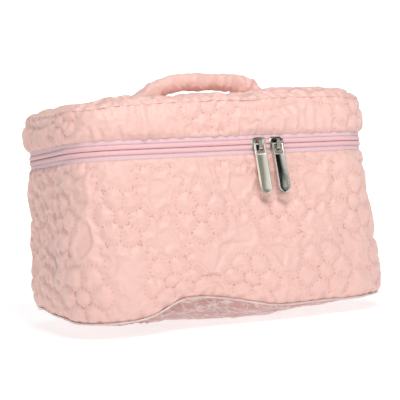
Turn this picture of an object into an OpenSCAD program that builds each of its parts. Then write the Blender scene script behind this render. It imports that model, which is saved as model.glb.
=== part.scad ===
// Quilted train-case makeup bag: padded body, hinged padded lid, two-way zip, padded top handle.
// Millimetres. +Z up, the front faces -Y. The origin is the middle of the face that it stands on.

/* [Body] */
// Width over the body wall at its rim, just under the zip
rim_w = 270; // [230:1:320]
// Depth over the body wall at its rim
rim_d = 168; // [140:1:200]
// Corner radius of the rim, seen from above
rim_corner = 40; // [34:1:48]
// Height of the zip's centre line above the ground
zip_z = 143; // [115:1:175]
// Height of the bottom seam above the ground
seam_z = 13; // [11:0.5:16]
// How far each side stands out beyond the rim where the body is widest
flare = 6.5; // [4:0.5:13]

/* [Lid] */
// Height of the lid above the zip's centre line
lid_h = 43; // [34:1:56]
// How far the lid's wall swells out beyond its rim
lid_swell = 2; // [1:0.5:4]

/* [Cloth layers] */
// Thickness of the quilted face cloth
face_t = 1.5; // [1.3:0.1:2]
// Thickness of the wadding behind the face cloth
wadding_t = 4; // [3.5:0.5:5]
// Thickness of the lining
lining_t = 0.8; // [0.5:0.1:1.2]
// Thickness of the binding that covers the raw edges inside each rim
binding_t = 1; // [0.6:0.1:1.4]
// Depth of the binding
binding_h = 8; // [6:1:10]
// Radius of the bead along the bottom seam
bead_r = 1.2; // [0.8:0.1:1.6]

/* [Zip] */
// Height of the zip band that shows between body and lid
band_h = 15.2; // [14.4:0.2:18]
// How far the band lies behind the rims' outer faces
band_recess = 2.4; // [2.4:0.1:3.6]
// Thickness of the zip tape and of the hinge strip
tape_t = 0.8; // [0.6:0.1:1]
// Depth of tape sewn in behind each rim
tape_seam = 9; // [7:1:11]
// Height of one coil
coil_h = 3.5; // [3:0.1:4]
// Thickness of one coil, behind the tape
coil_t = 2; // [1.6:0.1:2.4]
// Space between the two coils, which the sliders' webs run in
chain_gap = 1.2; // [1.1:0.1:1.6]
// Length of the cloth tab over each end of the zip
tab_l = 12; // [8:1:16]

/* [Sliders] */
// Length of a slider along the zip
slider_l = 12.5; // [11:0.5:15]
// Height of a slider across the zip
slider_h = 11; // [10:0.5:12]
// Thickness of a slider's plates
plate_t = 1.2; // [0.9:0.1:1.4]
// Place of the left slider, right of the bag's centre
slider_x = 20; // [-40:1:30]
// Distance between the two sliders' centres
slider_pitch = 16.4; // [15.4:0.2:30]

/* [Pulls] */
// Length of a pull from its hinge to its tip
pull_l = 41; // [30:1:46]
// Width of a pull
pull_w = 10.5; // [9:0.5:12]
// Thickness of a pull
pull_t = 1.2; // [1:0.1:1.4]
// Height of the open window at the top of a pull
window_h = 7; // [6:0.5:9]
// Diameter of the bar that hangs in the slider's bridge
pin_d = 1.6; // [1.2:0.1:1.8]
// Outward lean of a pull that hangs in front of the body, in degrees
pull_lean = 12; // [11:1:15]

/* [Handle] */
// Distance between the handle's outer ends
handle_span = 142; // [120:1:160]
// Height of the handle above the lid
handle_rise = 24; // [22:1:34]
// Diameter of the padded handle
handle_d = 16; // [13:0.5:17]
// Length of each sewn end
anchor_l = 26; // [20:1:30]
// How far the handle tips to each side, in degrees
handle_tip = 45; // [30:5:45]

/* [Hidden] */

// Room between pieces that move past each other
fit = 0.3;
// Corner steps of the plan outline
steps = 10;
// Reach of a cut past the face that it opens
over = 1;
$fn = 48;

// Depths of the layers behind the outer face
lining_in = face_t + wadding_t;
bound_in = lining_in + lining_t;
clear_in = bound_in + binding_t;
coil_in = band_recess + tape_t;

// Heights of the edges, from the ground up
floor_top = seam_z - bead_r;
body_foot = seam_z + bead_r;
body_rim = zip_z - band_h / 2;
tape_low = zip_z - chain_gap / 2;
tape_high = zip_z + chain_gap / 2;
lid_rim = zip_z + band_h / 2;
lid_z = zip_z + lid_h;
lid_seam = lid_z - lining_in;

// Half width of the straight part of the front and back
straight = rim_w / 2 - rim_corner;

// Profiles: each row is a height and how far the outline stands out beyond the rim there
// The bottom seam is tucked in by this much, and the widest line lies this far above it
seam_tuck = 2.5;
belly_rise = 10;
seam_grow = flare - seam_tuck;
belly = body_foot + belly_rise;
waist = (belly + body_rim) / 2;
// Below and above the waist the flank keeps these shares of the flare
hip_drop = 16;
hip_share = 0.7;
rib_rise = 20;
rib_share = 0.25;
flank = [[body_foot, seam_grow], [belly, flare], [waist - hip_drop, flare * hip_share],
    [waist + rib_rise, flare * rib_share]];
body_face = concat(flank, [[body_rim, 0]]);
// Height over which the lid's wall swells out, and back in again
swell_h = 8;
lid_face = [[lid_rim, 0], [lid_rim + swell_h, lid_swell], [lid_seam - swell_h, lid_swell], [lid_seam, 0]];
// The linings stand straight behind the sewn-in tape
body_inside = concat(flank, [[body_rim - tape_seam, 0], [body_rim, 0]]);
lid_inside = [[lid_rim, 0], [lid_seam, 0]];

// The bottom dish and the lid's crown: share of the height, and how far the outline moves
function dish(lift) = [for (p = [[0, -30], [0.17, -16], [0.5, -6], [1, 0]])
    [p[0] * floor_top + lift, seam_grow + p[1]]];
function crown(drop) = [for (p = [[0, 0], [0.6, -3], [0.88, -9], [1, -20]])
    [lid_seam + p[0] * (lid_z - lid_seam) - drop, p[1]]];

// The plan outline, grown by g: straight sides, and corners of equal steps
function outline(g) = [for (c = [[1, 1, 0], [-1, 1, 90], [-1, -1, 180], [1, -1, 270]])
    for (i = [0 : steps]) let (a = c[2] + 90 * i / steps, r = rim_corner + g)
        [c[0] * straight + r * cos(a), c[1] * (rim_d / 2 - rim_corner) + r * sin(a)]];

// Heights closer than this count as the same
same = 0.01;

// Rows of a profile between two heights, a given depth behind its face
function rows(profile, z0, z1, depth = 0) = concat([[z0, lookup(z0, profile) - depth]],
    [for (p = profile) if (p[0] > z0 + same && p[0] < z1 - same) [p[0], p[1] - depth]],
    [[z1, lookup(z1, profile) - depth]]);

// A solid through the outlines of a list of [height, growth] rows
module loft(rows) {
    n = 4 * (steps + 1);
    points = [for (row = rows) for (p = outline(row[1])) [p[0], p[1], row[0]]];
    sides = [for (k = [0 : len(rows) - 2]) for (i = [0 : n - 1]) let (j = (i + 1) % n)
        [k * n + j, k * n + i, (k + 1) * n + i, (k + 1) * n + j]];
    base = [for (i = [0 : n - 1]) i];
    top = [for (i = [n - 1 : -1 : 0]) (len(rows) - 1) * n + i];
    polyhedron(points = points, faces = concat(sides, [base, top]), convexity = 4);
}

module prism(z0, z1, g) {
    translate([0, 0, z0]) linear_extrude(z1 - z0) polygon(outline(g));
}

// One cloth layer, from a depth behind one profile to a depth behind another
module layer(z0, z1, outside, near, inside, far) {
    difference() {
        loft(rows(outside, z0, z1, near));
        loft(rows(inside, z0 - over, z1 + over, far));
    }
}

// A straight band between two depths behind the rim
module band(z0, z1, near, far) {
    difference() {
        prism(z0, z1, -near);
        prism(z0 - over, z1 + over, -far);
    }
}

// The straight part of the back, which the hinge strip fills and the zip leaves free
module back_straight() {
    translate([-straight, 0, 0]) cube([2 * straight, rim_d, 2 * lid_z]);
}

module zip_part(z0, z1, near, far) {
    difference() {
        band(z0, z1, near, far);
        back_straight();
    }
}

module hinge_part(z0, z1) {
    intersection() {
        band(z0, z1, band_recess, coil_in);
        back_straight();
    }
}

// ---- body ----

module body_wall() {
    color("#f5c3bb") {
        layer(body_foot, body_rim - face_t, body_face, 0, body_face, face_t);
        difference() {
            loft(rows(body_face, body_rim - face_t, body_rim));
            prism(body_rim - face_t - over, body_rim + over, -band_recess);
        }
    }
}

module body_wadding() {
    color("#fbf4ef") difference() {
        layer(body_foot, body_rim - face_t, body_face, face_t, body_inside, lining_in);
        band(body_rim - tape_seam, body_rim, band_recess, coil_in);
    }
}

module body_lining() {
    color("#f0b9b6") layer(floor_top, body_rim - face_t, body_inside, lining_in, body_inside, bound_in);
}

module body_rim_binding() {
    color("#e6a9ae") {
        layer(body_rim - binding_h, body_rim - face_t, body_inside, bound_in, body_inside, clear_in);
        band(body_rim - face_t, body_rim, coil_in, clear_in);
    }
}

module bottom_panel() {
    color("#dda9a3") difference() {
        loft(dish(0));
        loft(dish(face_t));
    }
}

module bottom_wadding() {
    color("#fbf4ef") difference() {
        loft(rows(dish(face_t), face_t, floor_top));
        loft(dish(lining_in));
    }
}

module bottom_lining() {
    color("#f0b9b6") difference() {
        loft(rows(dish(lining_in), lining_in, floor_top));
        loft(dish(bound_in));
    }
}

// The pale bead between wall and bottom, with its flange between the two seam allowances
module bottom_bead() {
    color("#f7ece8") difference() {
        loft([for (a = [-90 : 30 : 90])
            [seam_z + bead_r * sin(a), seam_grow - bead_r / 3 + bead_r * cos(a)]]);
        prism(floor_top - over, body_foot + over, seam_grow - lining_in);
    }
}

// ---- zip and hinge strip ----

module zip_tape_lower() {
    color("#dfc0cd") zip_part(body_rim - tape_seam, tape_low, band_recess, coil_in);
}

module zip_tape_upper() {
    color("#dfc0cd") zip_part(tape_high, lid_rim + tape_seam, band_recess, coil_in);
}

module zip_coil_lower() {
    color("#e3a9bb") zip_part(tape_low - coil_h, tape_low, coil_in, coil_in + coil_t);
}

module zip_coil_upper() {
    color("#e3a9bb") zip_part(tape_high, tape_high + coil_h, coil_in, coil_in + coil_t);
}

module hinge_strip_lower() {
    color("#f0b4ad") hinge_part(body_rim - tape_seam, zip_z - fit / 2);
}

module hinge_strip_upper() {
    color("#f0b4ad") hinge_part(zip_z + fit / 2, lid_rim + tape_seam);
}

module zip_tab() {
    color("#e9aeb0") translate([straight - tab_l, rim_d / 2 - band_recess, body_rim + fit])
        cube([tab_l, binding_t, tape_low - body_rim - fit]);
}

module zip_tab_left() {
    mirror([1, 0, 0]) zip_tab();
}

module zip_tab_right() {
    zip_tab();
}

// ---- lid ----

module lid_wall() {
    color("#f7c8c0") {
        layer(lid_rim + face_t, lid_seam, lid_face, 0, lid_face, face_t);
        difference() {
            loft(rows(lid_face, lid_rim, lid_rim + face_t));
            prism(lid_rim - over, lid_rim + face_t + over, -band_recess);
        }
    }
}

module lid_wadding() {
    color("#fbf4ef") difference() {
        layer(lid_rim + face_t, lid_seam, lid_face, face_t, lid_inside, lining_in);
        band(lid_rim, lid_rim + tape_seam, band_recess, coil_in);
    }
}

module lid_lining() {
    color("#f0b9b6")
        layer(lid_rim + face_t, lid_seam - lining_t, lid_inside, lining_in, lid_inside, bound_in);
}

module lid_rim_binding() {
    color("#e6a9ae") {
        layer(lid_rim + face_t, lid_rim + binding_h, lid_inside, bound_in, lid_inside, clear_in);
        band(lid_rim, lid_rim + face_t, coil_in, clear_in);
    }
}

module lid_top() {
    color("#fad0c8") difference() {
        loft(crown(0));
        loft(crown(face_t));
    }
}

module lid_top_wadding() {
    color("#fbf4ef") loft(rows(crown(face_t), lid_seam, lid_z - face_t));
}

module lid_top_lining() {
    color("#f0b9b6") prism(lid_seam - lining_t, lid_seam, -lining_in);
}

// ---- handle ----

handle_r = handle_d / 2;
// Radius at the handle's two ends
knuckle_r = 3.5;
// A higher power gives a flatter arch with steeper ends
arch_power = 2.4;
anchor_t = face_t;
// The axis that the handle tips about, through its two sewn ends
hinge_z = lid_z + anchor_t + fit + knuckle_r;
mid_z = lid_z + handle_rise - handle_r;
end_x = handle_span / 2;
stations = 28;
sides = 16;

function arch_z(u) = hinge_z + (mid_z - hinge_z) * (1 - pow(abs(u), arch_power));
// The tube narrows towards its ends, so that its underside clears the lid when it is tipped
function tube_r(z) = min(handle_r, knuckle_r + (z - hinge_z) * cos(handle_tip));

// A tube along the arch, through the stations us from -1 to 1, inset from the handle's surface
module arch_tube(us, inset) {
    points = [for (u = us) let (z = arch_z(u), r = tube_r(z) - inset,
            slope = atan((arch_z(u + same) - arch_z(u - same)) / (2 * same * end_x)))
        for (j = [0 : sides - 1]) let (a = 360 * j / sides)
            [u * end_x - r * cos(a) * sin(slope), r * sin(a), z + r * cos(a) * cos(slope)]];
    skin = [for (k = [0 : len(us) - 2]) for (j = [0 : sides - 1]) let (i = (j + 1) % sides)
        [k * sides + j, k * sides + i, (k + 1) * sides + i, (k + 1) * sides + j]];
    first = [for (j = [sides - 1 : -1 : 0]) j];
    last = [for (j = [0 : sides - 1]) (len(us) - 1) * sides + j];
    polyhedron(points = points, faces = concat(skin, [first, last]), convexity = 4);
}
along = [for (k = [0 : stations]) 2 * k / stations - 1];
past = 1 + over / end_x;

module handle_cover() {
    color("#f3b5ac") difference() {
        arch_tube(along, 0);
        arch_tube(concat([-past], along, [past]), face_t);
    }
}

module handle_core() {
    color("#f4efe6") arch_tube(along, face_t);
}

// The patch of the handle's end that is sewn flat to the lid
module handle_anchor() {
    pad_r = knuckle_r + 2;
    pad_x = anchor_l / 2 - pad_r;
    color("#f1b3aa") translate([(handle_span - anchor_l) / 2, 0, lid_z]) linear_extrude(anchor_t) {
        square([2 * pad_x, 2 * pad_r], center = true);
        for (side = [-1, 1]) translate([side * pad_x, 0]) circle(r = pad_r);
    }
}

module handle_anchor_left() {
    mirror([1, 0, 0]) handle_anchor();
}

module handle_anchor_right() {
    handle_anchor();
}

// ---- sliders and pulls ----

// A slider's own frame: its middle on the tape's outer face, on the zip's centre line
tape_y = -(rim_d / 2 - band_recess);
back_y = tape_t + coil_t + fit;
web_t = chain_gap - 2 * fit;
lip_h = slider_h / 2 - chain_gap / 2 - coil_h - fit;
tunnel = pin_d + 2 * fit;
guide_l = slider_l * 0.65;
bridge_w = 3;
bridge_t = 1.3;
bridge_h = 8.4;
bridge_round = 1.2;
pin_y = -(fit + plate_t + tunnel / 2);

// Extrudes a shape drawn across X and Z from depth y0 to depth y1
module across(y0, y1) {
    translate([0, y1, 0]) rotate([90, 0, 0]) linear_extrude(y1 - y0) children();
}

// A rectangle with round corners
module rounded(w, h, r) {
    square([w - 2 * r, h], center = true);
    square([w, h - 2 * r], center = true);
    for (x = [-1, 1]) for (y = [-1, 1]) translate([x * (w / 2 - r), y * (h / 2 - r)]) circle(r = r);
}

// A plate's outline: a blunt mouth at +X and a narrower tail at -X
module plate_shape() {
    l = slider_l / 2;
    h = slider_h / 2;
    polygon([[-l, -0.6 * h], [-0.5 * l, -h], [0.8 * l, -h], [l, -0.75 * h], [l, 0.75 * h], [0.8 * l, h],
        [-0.5 * l, h], [-l, 0.6 * h]]);
}

module slider() {
    color("#8f8b80") {
        across(-fit - plate_t, -fit) plate_shape();
        across(back_y, back_y + plate_t) plate_shape();
        translate([-slider_l / 2, -fit, -web_t / 2]) cube([slider_l, back_y + fit, web_t]);
        translate([-slider_l / 4, tape_t + fit, -slider_h / 2])
            cube([guide_l, back_y - tape_t - fit, lip_h]);
        translate([-bridge_w / 2, 0, 0]) rotate([90, 0, 90]) linear_extrude(bridge_w) difference() {
            translate([pin_y - bridge_t / 2, 0]) rounded(tunnel + bridge_t, bridge_h, bridge_round);
            translate([pin_y, 0]) square([tunnel, bridge_h - 2 * bridge_t], center = true);
        }
    }
}

module slider_left() {
    translate([slider_x, tape_y, zip_z]) slider();
}

module slider_right() {
    translate([slider_x + slider_pitch, tape_y, zip_z]) mirror([1, 0, 0]) slider();
}

// The strap's outline, inset from its edge, from below the window down to the round tip
module strap_shape(inset) {
    r = pull_w / 2 - inset;
    top = -(window_h + pin_d / 2) - inset;
    translate([-r, -(pull_l - pull_w / 2)]) square([2 * r, top + pull_l - pull_w / 2]);
    translate([0, -(pull_l - pull_w / 2)]) circle(r = r);
}

module pull() {
    rim = 1.6;
    panel_inset = 1.3;
    panel_depth = 0.25;
    color("#b7b3a6") rotate([-pull_lean, 0, 0]) {
        difference() {
            across(-pull_t / 2, pull_t / 2) strap_shape(0);
            across(-pull_t / 2 - over, -pull_t / 2 + panel_depth) strap_shape(panel_inset);
        }
        for (side = [-1, 1]) translate([side * (pull_w - rim) / 2, 0, -window_h / 2])
            cube([rim, pull_t, window_h + pin_d], center = true);
        translate([-pull_w / 2, 0, 0]) rotate([0, 90, 0]) cylinder(d = pin_d, h = pull_w);
    }
}

module pull_left() {
    translate([slider_x, tape_y + pin_y, zip_z]) pull();
}

module pull_right() {
    translate([slider_x + slider_pitch, tape_y + pin_y, zip_z]) pull();
}

body_wall();
body_wadding();
body_lining();
body_rim_binding();
bottom_panel();
bottom_wadding();
bottom_lining();
bottom_bead();
zip_tape_lower();
zip_coil_lower();
zip_tab_left();
zip_tab_right();
hinge_strip_lower();
lid_wall();
lid_wadding();
lid_lining();
lid_rim_binding();
lid_top();
lid_top_wadding();
lid_top_lining();
zip_tape_upper();
zip_coil_upper();
hinge_strip_upper();
handle_anchor_left();
handle_anchor_right();
handle_cover();
handle_core();
slider_left();
slider_right();
pull_left();
pull_right();
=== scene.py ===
"""Quilted train-case makeup bag: stitched daisy cloth, recessed two-way zip, padded handle."""

import math
import random

import bmesh
import bpy
import numpy as np
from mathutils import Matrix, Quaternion, Vector
from mathutils.geometry import delaunay_2d_cdt
from mathutils.kdtree import KDTree


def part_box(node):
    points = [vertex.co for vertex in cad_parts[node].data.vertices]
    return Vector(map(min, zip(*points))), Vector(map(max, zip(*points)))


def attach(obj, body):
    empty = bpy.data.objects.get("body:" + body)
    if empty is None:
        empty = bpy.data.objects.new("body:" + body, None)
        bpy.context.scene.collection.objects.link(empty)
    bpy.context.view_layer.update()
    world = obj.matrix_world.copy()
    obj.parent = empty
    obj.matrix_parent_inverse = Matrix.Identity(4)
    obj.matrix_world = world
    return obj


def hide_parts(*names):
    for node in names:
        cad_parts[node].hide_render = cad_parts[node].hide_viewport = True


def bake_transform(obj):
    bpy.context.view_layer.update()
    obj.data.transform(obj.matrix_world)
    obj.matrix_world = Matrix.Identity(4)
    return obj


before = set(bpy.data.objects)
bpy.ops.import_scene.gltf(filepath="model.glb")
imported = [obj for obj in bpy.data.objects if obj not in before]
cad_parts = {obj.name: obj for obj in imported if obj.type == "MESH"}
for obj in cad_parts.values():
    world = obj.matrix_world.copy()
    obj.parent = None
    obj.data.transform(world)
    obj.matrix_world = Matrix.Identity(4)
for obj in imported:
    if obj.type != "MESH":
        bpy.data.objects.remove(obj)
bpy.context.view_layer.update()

bl_info = {
    "name": "Quilted makeup bag",
    "version": (1, 0, 0),
    "blender": (4, 5, 0),
    "location": "View3D > Sidebar > Makeup Bag",
    "description": "Sews a quilted makeup bag round its frame, one group of pieces at a time",
    "category": "Add Mesh",
}

MM = 0.001
TAU = 2 * math.pi


def low(node):
    """Lowest corner of a frame node."""
    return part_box(node)[0]


def high(node):
    """Highest corner of a frame node."""
    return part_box(node)[1]


# The rim's outline, seen from above: a rounded rectangle
RIM_X = high("lid_top").x
RIM_Y = high("lid_top").y
RIM_CORNER = 40 * MM
STRAIGHT_X = RIM_X - RIM_CORNER
STRAIGHT_Y = RIM_Y - RIM_CORNER
# Heights and depths that the frame sets
FOOT_Z = low("body_wall").z
BODY_RIM_Z = high("body_wall").z
LID_RIM_Z = low("lid_wall").z
LID_SEAM_Z = high("lid_wall").z
LID_Z = high("lid_top").z
FLOOR_TOP_Z = high("bottom_panel").z
BELLY = high("body_wall").x - RIM_X
LID_SWELL = high("lid_wall").x - RIM_X
TAPE_DEPTH = RIM_Y - high("zip_tape_lower").y
LINING_DEPTH = high("body_wall").x - high("body_lining").x
ZIP_Z = (high("zip_coil_lower").z + low("zip_coil_upper").z) / 2

# The bottom seam is tucked in under the widest line
SEAM_TUCK = 2.5 * MM
SEAM_GROWTH = BELLY - SEAM_TUCK

# Corner radius at which lengths round the bag are measured
MEAN_CORNER = RIM_CORNER + 0.65 * BELLY
QUARTER = MEAN_CORNER * TAU / 4
AROUND = 4 * (STRAIGHT_X + STRAIGHT_Y) + 4 * QUARTER

# How far the outline stands out beyond the rim, at each height
BODY_SHAPE = (
    (FOOT_Z, SEAM_GROWTH),
    (FOOT_Z + 10 * MM, BELLY),
    (FOOT_Z + 49.6 * MM, 0.7 * BELLY),
    (BODY_RIM_Z - 35.6 * MM, 0.25 * BELLY),
    (BODY_RIM_Z, 0),
)
LID_SHAPE = (
    (LID_RIM_Z, 0),
    (LID_RIM_Z + 7 * MM, LID_SWELL),
    (LID_SEAM_Z - 9 * MM, LID_SWELL),
    (LID_SEAM_Z, -0.5 * MM),
)

# The stretches of the outline: length, centre at its start, travel, angle in degrees, and 1 if it turns
STRETCHES = (
    (STRAIGHT_X, (0, STRAIGHT_Y), (-1, 0), 90, 0),
    (QUARTER, (-STRAIGHT_X, STRAIGHT_Y), (0, 0), 90, 1),
    (2 * STRAIGHT_Y, (-STRAIGHT_X, STRAIGHT_Y), (0, -1), 180, 0),
    (QUARTER, (-STRAIGHT_X, -STRAIGHT_Y), (0, 0), 180, 1),
    (2 * STRAIGHT_X, (-STRAIGHT_X, -STRAIGHT_Y), (1, 0), 270, 0),
    (QUARTER, (STRAIGHT_X, -STRAIGHT_Y), (0, 0), 270, 1),
    (2 * STRAIGHT_Y, (STRAIGHT_X, -STRAIGHT_Y), (0, 1), 360, 0),
    (QUARTER, (STRAIGHT_X, STRAIGHT_Y), (0, 0), 360, 1),
    (STRAIGHT_X, (STRAIGHT_X, STRAIGHT_Y), (-1, 0), 450, 0),
)
STARTS = np.concatenate([[0], np.cumsum([row[0] for row in STRETCHES])])


# ---------------------------------------------------------------- shapes of the bag

def ring_point(s, growth):
    """Points of the outline grown by growth, as an array (n, 2). s runs once round the bag,
    from the middle of the back past the left side and the front."""
    s = np.mod(np.asarray(s, float), AROUND)
    growth = np.broadcast_to(np.asarray(growth, float), s.shape)
    k = np.clip(np.searchsorted(STARTS, s, side="right") - 1, 0, len(STRETCHES) - 1)
    past = s - STARTS[k]
    centres, travel, angle, turn = (np.array(column)[k] for column in list(zip(*STRETCHES))[1:])
    angle = np.radians(angle) + turn * past / MEAN_CORNER
    out = np.stack([np.cos(angle), np.sin(angle)], axis=-1)
    return centres + travel * past[..., None] + out * (RIM_CORNER + growth)[..., None]


def ring_place(x, y):
    """How far round the bag the outline's nearest point to (x, y) is."""
    x, y = np.asarray(x, float), np.asarray(y, float)
    to_side, to_end = RIM_Y - np.abs(y), RIM_X - np.abs(x)
    front = STARTS[4] + STRAIGHT_X + np.clip(x, -STRAIGHT_X, STRAIGHT_X)
    back = np.mod(-np.clip(x, -STRAIGHT_X, STRAIGHT_X), AROUND)
    left = STARTS[2] + STRAIGHT_Y - np.clip(y, -STRAIGHT_Y, STRAIGHT_Y)
    right = STARTS[6] + STRAIGHT_Y + np.clip(y, -STRAIGHT_Y, STRAIGHT_Y)
    s = np.where(to_side < to_end, np.where(y < 0, front, back), np.where(x < 0, left, right))
    corner = (np.abs(x) > STRAIGHT_X) & (np.abs(y) > STRAIGHT_Y)
    cx, cy = np.sign(x) * STRAIGHT_X, np.sign(y) * STRAIGHT_Y
    turned = np.mod(np.arctan2(y - cy, x - cx), TAU)
    for k in (1, 3, 5, 7):
        first = math.radians(STRETCHES[k][3] % 360)
        here = corner & (turned >= first - 1e-9) & (turned <= first + TAU / 4 + 1e-9)
        s = np.where(here, STARTS[k] + (turned - first) * MEAN_CORNER, s)
    return s


def inset_depth(x, y, growth=0.0):
    """How far (x, y) lies inside the outline grown by growth."""
    dx = np.abs(x) - STRAIGHT_X
    dy = np.abs(y) - STRAIGHT_Y
    outside = np.hypot(np.maximum(dx, 0), np.maximum(dy, 0))
    return RIM_CORNER + growth - outside - np.minimum(np.maximum(dx, dy), 0)


def through(rows, place):
    """A smooth curve through the rows (place, value), read at each place."""
    places, values = np.array(rows, float).T
    slopes = np.gradient(values, places)
    k = np.clip(np.searchsorted(places, place) - 1, 0, len(places) - 2)
    width = places[k + 1] - places[k]
    t = np.clip((place - places[k]) / width, 0, 1)
    start = values[k] * (2 * t**3 - 3 * t**2 + 1) + slopes[k] * width * (t**3 - 2 * t**2 + t)
    return start + values[k + 1] * (3 * t**2 - 2 * t**3) + slopes[k + 1] * width * (t**3 - t**2)


def ease(t):
    """0 to 1 with a soft start and end."""
    t = np.clip(t, 0, 1)
    return t * t * (3 - 2 * t)


def hump(distance, width):
    """A bell of height 1, half as high at width."""
    return np.exp(-math.log(2) * (np.asarray(distance) / width) ** 2)


def ripple(a, b, wave, seed, turns=5):
    """Soft irregular waves over the plane (a, b), between -1 and 1. They close round the bag along a."""
    rng = random.Random(seed)
    total = np.zeros(np.broadcast(a, b).shape)
    for _ in range(turns):
        across = rng.choice((-1, 1)) * max(1, round(AROUND / wave * rng.uniform(0.5, 1.2)))
        along = rng.uniform(-1, 1) * TAU / wave
        total += np.sin(TAU * across * a / AROUND + along * b + rng.uniform(0, TAU))
    return total / turns * 1.6


SAG = 4.2 * MM


def sagged(z):
    """How far the soft body sags to the right of its rim."""
    return SAG * (1 - np.clip((np.asarray(z) - FOOT_Z - 6 * MM) / (BODY_RIM_Z - FOOT_Z - 14 * MM), 0, 1))


def seam_height(s):
    """Height of the bottom seam: it hangs at the front corners and is lifted in the middle of the front."""
    x = np.mod(s, AROUND) - (STARTS[4] + STRAIGHT_X)
    lifted = 14.5 * hump(x + 54 * MM, np.where(x < -54 * MM, 21 * MM, 43 * MM))
    lifted += 4 * hump(x + 235 * MM, 40 * MM) + 3 * hump(np.abs(x) - 395 * MM, 45 * MM)
    return FOOT_Z - 1.4 * MM + lifted * MM + ripple(s, 0 * s, 70 * MM, 11) * 0.8 * MM


def crest_drop(s):
    """How far the lid's top seam has sunk, round the bag: its front left corner holds less stuffing."""
    past = np.mod(s, AROUND) - STARTS[3]
    sunk = 5.4 * hump(past, np.where(past < 0, 55 * MM, 100 * MM))
    return (sunk + 0.7 * ripple(s, 0 * s, 60 * MM, 13)) * MM


# ---------------------------------------------------------------- quilting

PETAL_REACH = 14.6 * MM
PETAL_RADIUS = 10.4 * MM
EYE_RADIUS = 6.8 * MM
STITCH = 3.1 * MM
DAISIES_AROUND = 12
DAISY_PITCH = AROUND / DAISIES_AROUND
# Sewn lines stop this far from a cut end, and this far from a seam
END_GAP = 1.5 * MM
SEWN_IN = 4.6 * MM


def daisy(centre, turn, size):
    """Sewn lines of one daisy: the scalloped edge, the eye and the lines between its six petals."""
    centre = np.array(centre, float)
    reach, petal, eye = size * PETAL_REACH, size * PETAL_RADIUS, size * EYE_RADIUS
    cusp = reach * math.cos(TAU / 12) + math.sqrt(petal**2 - (reach / 2) ** 2)
    wide = math.atan2(cusp / 2, cusp * math.cos(TAU / 12) - reach)
    edge = []
    lines = []
    for k in range(6):
        axis = turn + k * TAU / 6
        middle = centre + reach * np.array([math.cos(axis), math.sin(axis)])
        sweep = axis + np.linspace(-wide, wide, 17)[:-1]
        edge.append(middle + petal * np.stack([np.cos(sweep), np.sin(sweep)], 1))
        way = np.array([math.cos(axis + TAU / 12), math.sin(axis + TAU / 12)])
        steps = np.arange(eye + STITCH / 2, cusp - 0.3 * STITCH, STITCH / 2)
        lines.append(centre + steps[:, None] * way)
    round_eye = turn + np.linspace(0, TAU, 27)
    edge = np.concatenate(edge)
    ring = centre + eye * np.stack([np.cos(round_eye), np.sin(round_eye)], 1)
    return [np.concatenate([edge, edge[:1]]), ring, *lines]


def sewn_link(start, end, bow):
    """A sewn line from one daisy's edge towards another's, bowed to one side."""
    start, end = np.array(start, float), np.array(end, float)
    way = (end - start) / np.linalg.norm(end - start)
    side = np.array([-way[1], way[0]])
    reach = 1.04 * (PETAL_REACH + PETAL_RADIUS)
    start, end = start + way * reach, end - way * reach
    length = np.linalg.norm(end - start)
    t = np.linspace(0, 1, max(3, round(length / (STITCH / 2))))[:, None]
    return start + t * (end - start) + np.sin(TAU * t) * bow * side


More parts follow.
